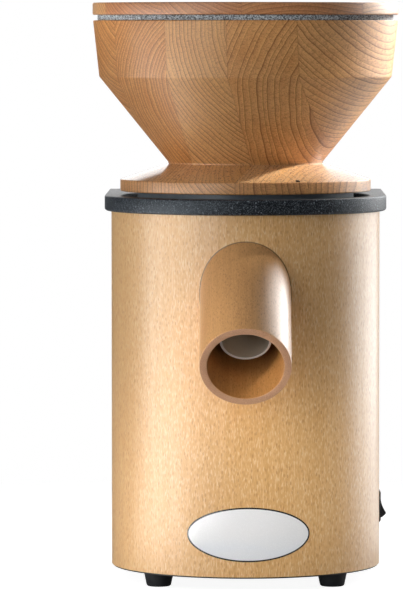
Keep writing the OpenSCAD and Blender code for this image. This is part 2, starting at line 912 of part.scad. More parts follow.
module rotor_core() {
    color("lightsteelblue") mill(z_stack) tube(rotor_r, core_bore + fit, stack_h);
}

module rotor_rings() {
    color("silver") for (z = [z_stack - ring_h, z_stack_top])
        mill(z) tube(rotor_r - 2, core_bore + fit, ring_h);
}

module motor_shaft() {
    color("lightgray") difference() {
        union() {
            mill(z_shaft) cylinder(h = z_stub - z_shaft, r = shaft_r);
            mill(z_bearing_low + bearing_w)
                cylinder(h = z_bearing_high - z_bearing_low - bearing_w, r = core_bore);
            mill(z_stub - cut) cylinder(h = z_lower_stone + cut - z_stub, r = stub_r);
        }
        mill(z_stub + stub_floor) cylinder(h = z_lower_stone, r = screw_r + fit, $fn = FINE);
        mill(z_fan - clip_t) tube(shaft_r + cut, shaft_r - clip_groove, clip_t);
        key_place() key(fit);
    }
}

// ---- Bearings ----

// Groove for the balls
module race() {
    mill() for (z = bearing_levels) translate([0, 0, z + bearing_w / 2])
        rotate_extrude() translate([ball_place, 0]) circle(r = ball_r + fit);
}

module bearing_outer_rings() {
    color("gainsboro") difference() {
        for (z = bearing_levels) mill(z) tube(bearing_r, race_out, bearing_w);
        race();
    }
}

module bearing_inner_rings() {
    color("gainsboro") difference() {
        for (z = bearing_levels) mill(z) tube(race_in, shaft_r, bearing_w);
        race();
    }
}

module bearing_balls() {
    color("white") for (z = bearing_levels)
        around(ball_count, ball_place, z + bearing_w / 2) sphere(r = ball_r, $fn = FINE);
}

module bearing_cages() {
    color("goldenrod") difference() {
        for (z = bearing_levels) mill(z + bearing_w / 2 - ball_r - cage_t)
            tube(ball_place + cage_t, ball_place - cage_t, 2 * (ball_r + cage_t));
        for (z = bearing_levels)
            around(ball_count, ball_place - 2 * cage_t, z + bearing_w / 2) rotate([0, 90, 0])
                cylinder(h = 4 * cage_t, r = ball_r + 2 * fit, $fn = FINE);
    }
}

// ---- Fan ----

module cooling_fan() {
    color("black") {
        mill(z_fan + fan_h - fan_disc_t) tube(fan_r, fan_hub_r - cut, fan_disc_t);
        mill(z_fan) tube(fan_hub_r, shaft_r + fit, fan_h);
        around(blade_count, fan_hub_r - cut, z_fan + blade_in)
            translate([0, -blade_t / 2, 0])
                cube([fan_r - fan_hub_r, blade_t, fan_h - blade_in - fan_disc_t / 2]);
    }
}

module fan_clip() {
    color("silver") mill(z_fan - clip_t + fit) difference() {
        tube(shaft_r + clip_rim, shaft_r - clip_groove + fit, clip_t - 2 * fit);
        translate([0, -clip_gap / 2, -cut])
            cube([shaft_r + clip_rim + cut, clip_gap, clip_t + 2 * cut]);
    }
}

module fan_shroud() {
    color("gray") difference() {
        union() {
            mill(z_lower_bell - shroud_flange) tube(shroud_r, bell_in, shroud_flange);
            mill(z_shroud) tube(shroud_r, shroud_r - shroud_wall, z_lower_bell - z_shroud);
            mill(z_shroud) tube(shroud_r, shroud_lip_r, shroud_flange);
        }
        around(4, bolt_place, z_lower_bell - shroud_flange - cut, 45)
            cylinder(h = shroud_flange + 2 * cut, r = screw_r + fit, $fn = FINE);
    }
}

// ---- Electrics ----

module run_capacitor() {
    color("whitesmoke") mill(z_plug) translate([-cap_x, cap_back, 0]) {
        cylinder(h = cap_h, r = cap_r);
        for (side = [-1, 1]) translate([side * tag_x - blade_h / 2, -blade_w / 2, cap_h - cut])
            cube([blade_h, blade_w, tag_h + cut]);
    }
}

module capacitor_clip() {
    color("black") difference() {
        union() {
            mill(clip_z) translate([-cap_x, cap_back, 0]) cylinder(h = clip_h, r = cap_r + clip_wall);
            mill(clip_z) translate([-cap_x - clip_tab_w / 2, panel_front - clip_tab_t, 0])
                cube([clip_tab_w, clip_tab_t, clip_h]);
            mill(clip_z) translate([-cap_x - clip_stem_w / 2, cap_back + cap_r, 0])
                cube([clip_stem_w, cap_stem, clip_h]);
        }
        mill(clip_z - cut) translate([-cap_x, cap_back, 0])
            cylinder(h = clip_h + 2 * cut, r = cap_r + fit);
        clip_screw_places() translate([0, 0, -cut])
            cylinder(h = clip_tab_t + 2 * cut, r = clip_screw_r + fit, $fn = FINE);
    }
}

// Puts children at the clip's screws, pointing into the back panel
module clip_screw_places() {
    for (side = [-1, 1])
        mill(clip_z + clip_h / 2)
            translate([-cap_x + side * (clip_tab_w / 2 - clip_screw_in), panel_front - clip_tab_t, 0])
                rotate([-90, 0, 0]) children();
}

module capacitor_screws() {
    color("silver") clip_screw_places() {
        translate([0, 0, -clip_head_h]) cylinder(h = clip_head_h, r = clip_head_r, $fn = FINE);
        cylinder(h = clip_tab_t, r = clip_screw_r, $fn = FINE);
    }
}

module terminal_block() {
    color("ivory") difference() {
        mill(block_z) translate([block_x, block_front, 0]) cube([block_w, block_d, block_h]);
        for (i = [0 : terminals - 1]) mill() translate([terminal_x(i), 0, block_z]) {
            translate([0, block_front - cut, block_h / 2]) rotate([-90, 0, 0])
                cylinder(h = terminal_depth + cut, r = small_screw_r + fit, $fn = FINE);
            for (z = [-cut, block_h - terminal_depth]) translate([0, block_back - block_d / 2, z])
                cylinder(h = terminal_depth + cut, r = lead_r + fit, $fn = FINE);
        }
    }
}

module terminal_screws() {
    color("gold") for (i = [0 : terminals - 1])
        mill() translate([terminal_x(i), block_front + cut, block_z + block_h / 2])
            rotate([-90, 0, 0]) cylinder(h = terminal_screw_l, r = small_screw_r, $fn = FINE);
}

// Ends of the leads on the terminal block: row 1 is its top, row 0 its underside
function terminal(i, row) = [terminal_x(i), axis_y + block_back - block_d / 2,
    block_z + (row > 0 ? block_h - terminal_depth : terminal_depth)];

module motor_leads() {
    color("firebrick") for (i = [0 : 2]) {
        out = terminal(i, 1);
        level = lead_level + i;
        x = (i - 1) * motor_lead_pitch;
        lead([[x, axis_y + slot_out, level], [x, axis_y + motor_r + motor_lead_out, level],
            [out[0], out[1], level], out]);
    }
}

module switch_leads() {
    color("royalblue") for (i = [0, 1]) {
        out = terminal(3 + i, 1);
        x = shell_in + shell_wall - frame_depth - blade_l / 2;
        y = axis_y + switch_back + blade_w / 2;
        z = switch_z + blade_places[2 * i];
        level = block_z + block_h + switch_lead_up + lead_step * i;
        far = y + switch_lead_out + lead_step * (1 - i);
        lead([[x, y, z], [x, far, z], [x, far, level],
            [x, out[1] - switch_lead_turn - lead_step * i, level], [out[0], out[1], level], out]);
    }
}

module capacitor_leads() {
    color("black") for (i = [0, 1]) {
        out = terminal(i, 0);
        x = -cap_x + (2 * i - 1) * tag_x;
        y = axis_y + cap_back;
        z = z_plug + cap_h + tag_h;
        high = z + cap_lead_up + lead_step * (1 - i);
        side = -cap_x + cap_r + cap_lead_side + lead_step * (1 - i);
        low = block_z - cap_lead_drop - lead_step * i;
        lead([[x, y, z], [x, y, high], [side, y, high], [side, out[1], low],
            [out[0], out[1], low], out]);
    }
}

// Puts children at the gland, pointing in from the back face
module gland_place() {
    mill(gland_z) translate([gland_x, body_back, 0]) rotate([90, 0, 0]) children();
}

module cable_gland() {
    color("black") difference() {
        gland_place() {
            translate([0, 0, -gland_flange_t])
                cylinder(h = gland_flange_t, r = gland_flange_r);
            cylinder(h = back_t + gland_inside, r = gland_barrel_r);
        }
        gland_place() translate([0, 0, -gland_flange_t - cut])
            cylinder(h = gland_flange_t + back_t + gland_inside + 2 * cut, r = gland_bore_r);
    }
}

module gland_nut() {
    color("dimgray") gland_place() translate([0, 0, back_t]) difference() {
        cylinder(h = nut_t, r = gland_barrel_r + nut_over, $fn = 6);
        translate([0, 0, -cut]) cylinder(h = nut_t + 2 * cut, r = gland_barrel_r + fit);
    }
}

// ---- Stones ----

module lower_stone() {
    color("linen") mill(z_lower_stone) rotate_extrude() polygon([
        [stone_bore_r, 0], [stone_r, 0], [stone_r, stone_t],
        [stone_r - grind_w, stone_t], [stone_bore_r + feed_w, stone_t - feed_d],
        [stone_bore_r, stone_t - feed_d]]);
}

// Key across the shaft that turns the carrier
module key_place() { mill(z_carrier + key_up) children(); }
module key(clear = 0) {
    translate([-stub_r - key_over - clear, -key_w / 2 - clear, -clear])
        cube([2 * (stub_r + key_over + clear), key_w + 2 * clear, key_w + 2 * clear]);
}

module drive_key() {
    color("darkgray") difference() {
        key_place() key();
        mill(z_stub) cylinder(h = z_lower_stone, r = screw_r + fit, $fn = FINE);
    }
}

module stone_carrier() {
    color("lightgray") difference() {
        union() {
            mill(z_carrier) cylinder(h = carrier_t, r = carrier_r);
            mill(z_hub) cylinder(h = vane_h + cut, r = carrier_hub_r);
            mill(z_lower_stone - cut) cylinder(h = cut + spigot_h, r = stone_bore_r - fit);
            around(vane_count, carrier_hub_r - cut, z_hub)
                translate([0, -vane_t / 2, 0]) cube([vane_r - carrier_hub_r, vane_t, vane_h + cut]);
        }
        mill(z_hub - cut) cylinder(h = z_lower_stone - z_hub + cut, r = stub_r + fit);
        mill(z_hub) cylinder(h = 2 * stone_t, r = screw_r + fit, $fn = FINE);
        key_place() key(fit);
    }
}

module stone_bolt() {
    color("silver") {
        mill(z_lower_stone + spigot_h)
            cylinder(h = bolt_head_h, r = stone_bore_r - bolt_flat, $fn = 6);
        mill(z_stub + stub_floor + cut)
            cylinder(h = z_lower_stone + spigot_h - z_stub - stub_floor - cut, r = screw_r,
                $fn = FINE);
    }
}

module upper_stone() {
    color("linen") mill(z_upper_stone) rotate_extrude() polygon([
        [eye_r + eye_feed, 0], [stone_r, 0], [stone_r, stone_t],
        [eye_r + eye_flare, stone_t], [eye_r, stone_t - eye_flare], [eye_r, feed_d]]);
}

module stone_holder() {
    color("dimgray") difference() {
        union() {
            mill(z_lug - holder_drop) cylinder(h = lug_t + holder_drop, r = chamber_r - lug_root);
            for (a = lug_angles) mill(z_lug) rotate(a - 90) intersection() {
                translate([stone_r, -lug_w / 2 + gap, 0]) cube([thread_r, lug_w - 2 * gap, lug_t]);
                cylinder(h = lug_t, r = thread_r - gap);
            }
        }
        mill(z_lug - holder_drop - cut)
            cylinder(h = lug_t + holder_drop + 2 * cut, r = stone_r + fit);
    }
}

// Coil spring as one swept tube
function spring_point(t) = [spring_coil_r * cos(360 * t), spring_coil_r * sin(360 * t),
    spring_wire + t / spring_turns * (spring_h - 2 * spring_wire)];
module coil_spring() {
    rings = ceil(spring_turns * spring_steps);
    points = [for (i = [0 : rings], j = [0 : spring_sides - 1])
        let (t = i / spring_steps, a = 360 * t, b = 360 * j / spring_sides)
        spring_point(t) + spring_wire * [cos(b) * cos(a), cos(b) * sin(a), sin(b)]];
    sides = [for (i = [0 : rings - 1], j = [0 : spring_sides - 1])
        let (k = (j + 1) % spring_sides)
        [i * spring_sides + j, i * spring_sides + k,
            (i + 1) * spring_sides + k, (i + 1) * spring_sides + j]];
    ends = [[for (j = [spring_sides - 1 : -1 : 0]) j],
        [for (j = [0 : spring_sides - 1]) rings * spring_sides + j]];
    polyhedron(points = points, faces = concat(sides, ends), convexity = 8);
}

module adjust_springs() {
    color("silver") for (a = lug_angles) mill(z_pocket) rotate(a - 90)
        translate([spring_place, 0, 0]) coil_spring();
}

// ---- Hopper ----

module adjusting_ring() {
    color("dimgray") difference() {
        mill() rotate_extrude() polygon([
            [throat_r, z_throat], [throat_r + throat_wall, z_throat],
            [throat_wall + funnel_r(z_ring_low), z_ring_low],
            [thread_r - skirt_wall, z_ring_low], [thread_r - skirt_wall, z_skirt],
            [thread_r - fit, z_skirt], [thread_r - fit, z_ring_low],
            [ring_r, z_ring_low], [ring_r, z_ring], [funnel_r(z_ring), z_ring]]);
        ring_screw_places() countersink(ring_t + cut);
    }
}

// Puts children at the ring's screws, pointing up into the base disc
module ring_screw_places() { around(4, (thread_r + ring_r) / 2, z_ring_low) children(); }

module ring_screws() {
    color("silver") ring_screw_places() countersunk(ring_t + disc_edge_h);
}

// Solid of the base disc, before its holes
module disc_solid(raise = 0) {
    mill(raise) rotate_extrude() polygon([
        [funnel_r(z_ring), z_ring], [disc_r, z_ring], [disc_r, z_edge],
        [waist_r, z_waist], [tenon_r + fit, z_waist], [tenon_r + fit, z_waist - tenon_h],
        [funnel_r(z_waist - tenon_h), z_waist - tenon_h]]);
}

module mark_hole(r) {
    mill(z_ring + mark_floor) rotate(mark_angle - 90) translate([disc_r - mark_in, 0, 0])
        cylinder(h = disc_edge_h + disc_cone_h, r = r, $fn = FINE);
}

module hopper_base() {
    color("burlywood") difference() {
        disc_solid();
        ring_screw_places() cylinder(h = ring_t + disc_edge_h + cut, r = screw_r + fit, $fn = FINE);
        mark_hole(mark_r + fit);
    }
}

module index_pin() {
    color("black") intersection() {
        disc_solid(0.1);
        mark_hole(mark_r);
    }
}

module hopper_bowl() {
    color("burlywood") mill() rotate_extrude() polygon([
        [funnel_r(z_waist - tenon_h), z_waist - tenon_h], [tenon_r, z_waist - tenon_h],
        [tenon_r, z_waist], [waist_r, z_waist], [ridge_r, z_ridge], [rim_r, z_rim],
        [rim_in, z_rim], [ridge_in + ridge_step_r, z_ridge + ridge_step_h],
        [ridge_in, z_ridge]]);
}

module lid() {
    color("sandybrown") mill() rotate_extrude() polygon([
        [0, z_lid - boss_h], [rim_in - boss_clear, z_lid - boss_h],
        [rim_in - boss_clear, z_lid], [lid_r - lid_edge, z_lid], [lid_r, z_lid + lid_edge],
        [lid_r, z_lid + lid_t - lid_edge], [lid_r - lid_edge, z_lid + lid_t],
        [0, z_lid + lid_t]]);
}

module felt_seal() {
    color("gray") mill(z_rim) tube(felt_r, rim_in - boss_clear + fit, felt_t);
}

housing_shell();
back_panel();
back_battens();
back_screws();
base_plate();
feet();
tie_bolts();
plate_inserts();
top_plate();
milling_chamber();
chamber_gasket();
chamber_screws();
shaft_seal();
spout();
chute_liner();
chute_collar();
badge_plate();
switch_frame();
switch_blades();
switch_rocker();
motor_upper_bell();
motor_lower_bell();
motor_screws();
through_bolts();
stator_core();
stator_windings();
rotor_core();
rotor_rings();
motor_shaft();
bearing_outer_rings();
bearing_inner_rings();
bearing_balls();
bearing_cages();
cooling_fan();
fan_clip();
fan_shroud();
run_capacitor();
capacitor_clip();
capacitor_screws();
terminal_block();
terminal_screws();
motor_leads();
switch_leads();
capacitor_leads();
cable_gland();
gland_nut();
lower_stone();
stone_carrier();
stone_bolt();
drive_key();
upper_stone();
stone_holder();
adjust_springs();
adjusting_ring();
ring_screws();
hopper_base();
hopper_bowl();
index_pin();
lid();
felt_seal();
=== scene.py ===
import logging
import math
from dataclasses import dataclass
from enum import Enum
from typing import Callable, Optional, Union

import bmesh
import bpy
from mathutils import Matrix, Vector


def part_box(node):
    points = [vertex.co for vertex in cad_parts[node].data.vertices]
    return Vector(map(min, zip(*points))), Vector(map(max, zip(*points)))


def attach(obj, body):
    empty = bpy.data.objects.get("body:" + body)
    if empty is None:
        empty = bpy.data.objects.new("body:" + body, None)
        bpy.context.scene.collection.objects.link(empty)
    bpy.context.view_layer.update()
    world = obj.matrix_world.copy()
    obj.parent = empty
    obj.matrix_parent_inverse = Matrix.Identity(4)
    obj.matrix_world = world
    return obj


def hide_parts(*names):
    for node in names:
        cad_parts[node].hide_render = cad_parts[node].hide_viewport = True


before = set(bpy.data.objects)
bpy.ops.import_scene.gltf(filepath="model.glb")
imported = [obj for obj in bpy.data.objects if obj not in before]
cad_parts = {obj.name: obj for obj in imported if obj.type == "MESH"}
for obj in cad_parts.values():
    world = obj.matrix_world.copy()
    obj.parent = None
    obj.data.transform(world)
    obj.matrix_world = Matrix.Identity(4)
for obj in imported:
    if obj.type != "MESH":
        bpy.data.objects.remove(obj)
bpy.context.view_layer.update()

log = logging.getLogger("grain_mill")

MM = 0.001
AXIS_Y = (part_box("lid")[0].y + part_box("lid")[1].y) / 2

Socket = bpy.types.NodeSocket
Value = Union[float, "Wire"]
Colour = tuple[int, int, int]  # as displayed, each part from 0 to 255
Paint = Union[Colour, "Wire"]
Place = tuple[float, float, float]


class Body(Enum):
    """Moving groups of the mill, named as the frame names them."""

    HOUSING = "housing"
    HOPPER = "hopper"
    LID = "lid"
    ROCKER = "rocker"


class Slot(Enum):
    """Finish slots of the record; each new piece is passed one, which it does not use."""

    PANEL = "panel_wood"
    HOPPER = "hopper_wood"
    SPOUT = "spout_wood"
    FELT = "felt"
    PLATE = "plate_composite"
    RING = "ring_plastic"
    BASE = "base_plastic"
    FOOT = "foot_rubber"
    LINER = "liner_plastic"
    BADGE = "badge_face"
    SWITCH = "switch_plastic"


# ---- Writing node trees ----


def linear(colour: Colour) -> tuple[float, float, float, float]:
    """Turn a displayed colour into the linear one that a shader takes, with its alpha."""
    shares = [part / 255 for part in colour]
    return (*(s / 12.92 if s <= 0.04045 else ((s + 0.055) / 1.055) ** 2.4 for s in shares), 1.0)


def operator(operation: str) -> Callable[["Wire", Value], "Wire"]:
    """Operator of a wire, which adds a Math node."""
    def use(wire: "Wire", other: Value) -> "Wire":
        """The node's result."""
        return wire.w.math(operation, wire, other)

    return use


class Wire:
    """Output of a shader node, whose sums and products are further nodes."""

    __add__ = operator("ADD")
    __sub__ = operator("SUBTRACT")
    __mul__ = operator("MULTIPLY")
    __truediv__ = operator("DIVIDE")

    def __init__(self, w: "Wiring", socket: Socket) -> None:
        """Keep the socket and the wiring of its tree."""
        self.w = w
        self.socket = socket

    def __rsub__(self, other: float) -> "Wire":
        """What is left of a number."""
        return self.w.math("SUBTRACT", other, self)


class Wiring:
    """Short ways to add and join the nodes of one shader tree."""

    def __init__(self, tree: bpy.types.NodeTree) -> None:
        """Keep the tree that the nodes go into."""
        self.tree = tree

    def feed(self, node: bpy.types.Node, feeds: dict) -> None:
        """Join a node's inputs, by name or number, to wires, or set their values."""
        for name, value in feeds.items():
            if isinstance(value, Wire):
                self.tree.links.new(value.socket, node.inputs[name])
            else:
                node.inputs[name].default_value = value

    def node(self, kind: str, feeds: Optional[dict] = None, **settings: object) -> bpy.types.Node:
        """Add a node.

        Args:
            kind: Blender's name for the node type.
            feeds: Values or wires for its inputs, by name or number.
            **settings: The node's own properties.

        Returns:
            The node.
        """
        made = self.tree.nodes.new(kind)
        for name, value in settings.items():
            setattr(made, name, value)
        self.feed(made, feeds or {})
        return made

    def give(self, kind: str, feeds: Optional[dict] = None, output: Union[int, str] = 0,
             **settings: object) -> Wire:
        """Add a node and give one of its outputs."""
        return Wire(self, self.node(kind, feeds, **settings).outputs[output])

    def math(self, operation: str, *values: Value, clamp: bool = False) -> Wire:
        """Result of a Math node on up to three values."""
        return self.give("ShaderNodeMath", dict(enumerate(values)), operation=operation,
                         use_clamp=clamp)

    def most(self, first: Value, second: Value) -> Wire:
        """The larger of two values."""
        return self.math("MAXIMUM", first, second)

    def hypot(self, first: Wire, second: Wire) -> Wire:
        """Length of a step in a plane."""
        return self.math("SQRT", first * first + second * second)

    def vector(self, operation: str, *values: object) -> Wire:
        """Result of a Vector Math node."""
        scalar = operation in ("LENGTH", "DOT_PRODUCT")
        return self.give("ShaderNodeVectorMath", dict(enumerate(values)), 1 if scalar else 0,
                         operation=operation)

    def outputs(self, node: bpy.types.Node) -> dict[str, Wire]:
        """What a node gives, by name."""
        return {output.name: Wire(self, output) for output in node.outputs}

    def split(self, vector: Wire) -> tuple[Wire, ...]:
        """The three parts of a vector."""
        return tuple(self.outputs(self.node("ShaderNodeSeparateXYZ", {0: vector})).values())

    def join(self, x: Value, y: Value, z: Value) -> Wire:
        """A vector of three values."""
        return self.give("ShaderNodeCombineXYZ", {0: x, 1: y, 2: z})

    def noise(self, vector: Wire, detail: float = 2.0, roughness: float = 0.5,
              distortion: float = 0.0, output: Union[int, str] = 0) -> Wire:
        """Noise from 0 to 1 over a vector whose unit is one grain."""
        feeds = {"Vector": vector, "Scale": 1.0, "Detail": detail, "Roughness": roughness,
                 "Distortion": distortion}
        return self.give("ShaderNodeTexNoise", feeds, output)

    def cells(self, vector: Wire) -> tuple[Wire, Wire]:
        """Distance to the nearest cell's middle, and that cell's own random number."""
        made = self.outputs(self.node("ShaderNodeTexVoronoi", {"Vector": vector, "Scale": 1.0}))
        return made["Distance"], self.split(made["Color"])[0]

    def span(self, value: Value, low: float, high: float, to_low: float = 0.0,
             to_high: float = 1.0) -> Wire:
        """Map one range of a value onto another, clamped and smooth at its ends."""
        feeds = {"Value": value, "From Min": low, "From Max": high, "To Min": to_low,
                 "To Max": to_high}
        return self.give("ShaderNodeMapRange", feeds, interpolation_type="SMOOTHSTEP")

    def mix(self, share: Value, first: Paint, second: Paint) -> Wire:
        """Mix of two colours."""
        first, second = (c if isinstance(c, Wire) else linear(c) for c in (first, second))
        return self.give("ShaderNodeMix", {0: share, 6: first, 7: second}, 2, data_type="RGBA",
                         blend_type="MIX")

    def layers(self, base: Paint, *paints: tuple[Value, Paint]) -> Wire:
        """Mix of colours over a base one, each with its share of what it covers."""
        for share, paint in paints:
            base = self.mix(share, base, paint)
        return base

    def bump(self, height: Value, strength: float, distance: float) -> Wire:
        """Normal of a surface with that height, whose full height is distance in metres."""
        feeds = {"Height": height, "Strength": strength, "Distance": distance}
        return self.give("ShaderNodeBump", feeds)

    def place(self) -> Wire:
        """Place on the object, in millimetres about the mill's axis, with Y to the back."""
        feeds = {"Vector": self.give("ShaderNodeTexCoord", output="Object"),
                 "Location": (0.0, -AXIS_Y / MM, 0.0), "Scale": (1 / MM, 1 / MM, 1 / MM)}
        return self.give("ShaderNodeMapping", feeds, vector_type="POINT")

    def stretch(self, vector: Wire, *sizes: float) -> Wire:
        """The vector measured in grains of a size, or of one size along each axis."""
        x, y, z = sizes if len(sizes) == 3 else sizes * 3
        return self.vector("MULTIPLY", vector, (1 / x, 1 / y, 1 / z))

    def turned(self, vector: Wire, x: float = 0.0, y: float = 0.0, z: float = 0.0) -> Wire:
        """The vector turned by angles in degrees."""
        feeds = {"Vector": vector, "Rotation": (math.radians(x), math.radians(y), math.radians(z))}
        return self.give("ShaderNodeMapping", feeds, vector_type="POINT")


@dataclass(frozen=True)
class Effect:
    """A shared surface effect, kept once as a shader node group."""

    title: str

    def fill(self, w: Wiring, place: Wire) -> dict[str, Wire]:
        """Write the group's nodes, and give a value for each output that it is to have."""
        raise NotImplementedError

    def tree(self) -> bpy.types.NodeTree:
        """The node group, made on first use."""
        made = bpy.data.node_groups.get(self.title)
        if made is not None:
            return made
        made = bpy.data.node_groups.new(self.title, "ShaderNodeTree")
        made.interface.new_socket("Place", in_out="INPUT", socket_type="NodeSocketVector")
        w = Wiring(made)
        filled = self.fill(w, w.give("NodeGroupInput", output="Place"))
        for name in filled:
            made.interface.new_socket(name, in_out="OUTPUT", socket_type="NodeSocketFloat")
        w.node("NodeGroupOutput", filled)
        return made

    def use(self, w: Wiring, place: Wire) -> dict[str, Wire]:
        """Put the effect into a material.

        Args:
            w: Wiring of the material.
            place: Place on the object, in millimetres.

        Returns:
            The group's outputs by name.
        """
        return w.outputs(w.node("ShaderNodeGroup", {"Place": place}, node_tree=self.tree()))


@dataclass(frozen=True)
class Plank:
    """One plank of a glued block, in the plane across its fibres."""

    edge: float  # where the plank begins, across the block
    heart_u: float  # heart of the tree, across the block
    heart_z: float  # and its height
    ring: float  # growth of one year
    tone: float  # how dark the plank is


@dataclass(frozen=True)
class GluedPlanks(Effect):
    """Growth rings and rays of a block glued from planks, cut at any angle."""

    planks: tuple[Plank, ...]
    turn: float  # from the view's direction to the fibres, in degrees

    def fill(self, w: Wiring, place: Wire) -> dict[str, Wire]:
        """Write the planks' hearts, their rings and the rays across those."""
        x, y, z = w.split(place)
        c, s = math.cos(math.radians(self.turn)), math.sin(math.radians(self.turn))
        across = x * c - y * s
        along = x * s + y * c
        before = self.planks[0]
        heart: object = (before.heart_u, before.heart_z, before.ring)
        tone: Value = before.tone
        joint: Value = 0.0
        for plank in self.planks[1:]:
            beyond = w.math("GREATER_THAN", across, plank.edge)
            step = (plank.heart_u - before.heart_u, plank.heart_z - before.heart_z,
                    plank.ring - before.ring)
            step = w.vector("MULTIPLY", w.join(beyond, beyond, beyond), step)
            heart = w.vector("ADD", step, heart)
            tone = beyond * (plank.tone - before.tone) + tone
            near = w.math("ABSOLUTE", across - plank.edge)
            joint = w.most(joint, w.span(near, 0.1, 0.5, 1.0, 0.0))
            before = plank
        heart_u, heart_z, ring = w.split(heart)
        block = w.join(across, along, z)
        du, dz = across - heart_u, z - heart_z
        out = (w.noise(w.stretch(block, 26, 160, 26)) - 0.5) * 5.0 + w.hypot(du, dz)
        year = w.noise(w.join(out / 11.0, heart_z, ring), 1.0) * 2.6 + out / ring
        own = w.noise(w.join(w.math("FLOOR", year) * 0.73, heart_u, 0.0), 0.0)
        strength = w.span(own, 0.3, 0.6, 0.4, 1.0)
        since = w.math("FRACT", year) * ring  # growth since the last line
        left = ring - since  # and until the next one
        angle = w.math("ARCTAN2", dz, du)
        rays = w.noise(w.join(angle * 120.0, out / 4.0, along / 2.4), 1.0, 0.4)
        return {"Line": w.span(left, 0.2, 0.75, 1.0, 0.0) * strength,
                "Late": w.span(left, 0.4, 2.0, 1.0, 0.0) * strength,
                "Pale": w.span(since, 0.5, 1.3, 1.0, 0.0) * strength,
                "Ray": w.span(rays, 0.52, 0.68),
                "Pore": w.noise(w.stretch(block, 0.75, 4.5, 0.75), 2.0, 0.6),
                "Tone": tone, "Joint": joint,
                "Cloud": w.noise(w.stretch(block, 17, 70, 17), 3.0)}


@dataclass(frozen=True)
class BeechFleck(Effect):
    """Short lens-shaped flecks of beech along Z, with soft streaks between them."""

    width: float = 0.66
    length: float = 3.6

    def fill(self, w: Wiring, place: Wire) -> dict[str, Wire]:
        """Write the flecks as stretched noise, over a place that drifts slowly."""
        drift = w.noise(w.stretch(place, 14, 14, 40), 1.0, output="Color")
        bent = w.vector("ADD", place, w.vector("MULTIPLY", drift, (1.6, 1.6, 0.0)))

        def grains(wide: float, long: float) -> Wire:
            """The drifting place, in grains measured by the flecks."""
            return w.stretch(bent, self.width * wide, self.width * wide, self.length * long)

        fleck = w.noise(grains(1, 1), 1.0, 0.4)
        off, own = w.cells(grains(2.8, 1.3))
        lens = w.span(off, 0.2, 0.36, 1.0, 0.0) * w.span(own, 0.0, 0.7, 0.45, 1.0)
        thread = w.noise(grains(1.3, 14), 1.0)
        slow = w.noise(w.stretch(bent, 4, 4, 170))
        return {"Dark": w.most(w.span(fleck, 0.53, 0.75, 0.0, 0.6), lens),
                "Pale": w.span(fleck, 0.47, 0.32), "Streak": thread * 0.5 + slow * 0.5,
                "Pore": w.span(w.noise(grains(0.5, 0.5), 1.0), 0.55, 0.7)}


@dataclass(frozen=True)
class Grit(Effect):
    """Bright and dark grains of two sizes in a moulded composite."""

    grain: float = 0.75

    def fill(self, w: Wiring, place: Wire) -> dict[str, Wire]:
        """Write the grains as noise and the few large ones as cells."""
        coarse = w.noise(w.stretch(place, self.grain), 2.0, 0.6)
        distance, own = w.cells(w.stretch(place, self.grain * 2.4))
        spot = w.span(distance, 0.2, 0.36, 1.0, 0.0) * w.span(own, 0.62, 0.95)
        return {"Bright": w.most(w.span(coarse, 0.5, 0.66) * 0.6, spot),
                "Dim": w.span(coarse, 0.46, 0.34), "Height": coarse}


@dataclass(frozen=True)
class Fibres(Effect):
    """Pressed wool: short light and dark hairs in every direction."""

    def fill(self, w: Wiring, place: Wire) -> dict[str, Wire]:
        """Write two crossed layers of stretched noise."""
        first, second = (w.noise(w.stretch(w.turned(place, *turn), 0.7, 2.2, 0.8), 2.0, 0.6, 0.6)
                         for turn in ((20, 35, 40), (-35, 10, -50)))
        return {"Light": w.most(w.span(first, 0.52, 0.6), w.span(second, 0.54, 0.62)),
                "Gap": w.most(w.span(first, 0.48, 0.38), w.span(second, 0.46, 0.36)),
                "Height": first + second}


@dataclass(frozen=True)
class FineGrain(Effect):
    """Slow mottling and a fine grain, for plastics, rubber, metal and stone."""

    mottle: float = 14.0
    grain: float = 0.5
    pull: float = 1.0

    def fill(self, w: Wiring, place: Wire) -> dict[str, Wire]:
        """Write noise at both sizes, the finer one pulled along Z."""
        fine = w.stretch(place, self.grain, self.grain, self.grain * self.pull)
        return {"Mottle": w.noise(w.stretch(place, self.mottle), 3.0),
                "Grain": w.noise(fine, 2.0, 0.6)}


# ---- Finishes ----


@dataclass(frozen=True)
class Finish:
    """What every finish has: a name, and a way to write its material."""

    title: str

    def write(self, w: Wiring, place: Wire) -> dict[str, object]:
        """Write the material's nodes.

        Args:
            w: Wiring of the material.
            place: Place on the object, in millimetres.

        Returns:
            Wires and values for the inputs of the surface shader.
        """
        raise NotImplementedError

    def material(self) -> bpy.types.Material:
        """The material, made on first use."""
        made = bpy.data.materials.get(self.title)
        if made is None:
            made = bpy.data.materials.new(self.title)
            made.use_nodes = True
            w = Wiring(made.node_tree)
            w.feed(made.node_tree.nodes["Principled BSDF"], self.write(w, w.place()))
        return made


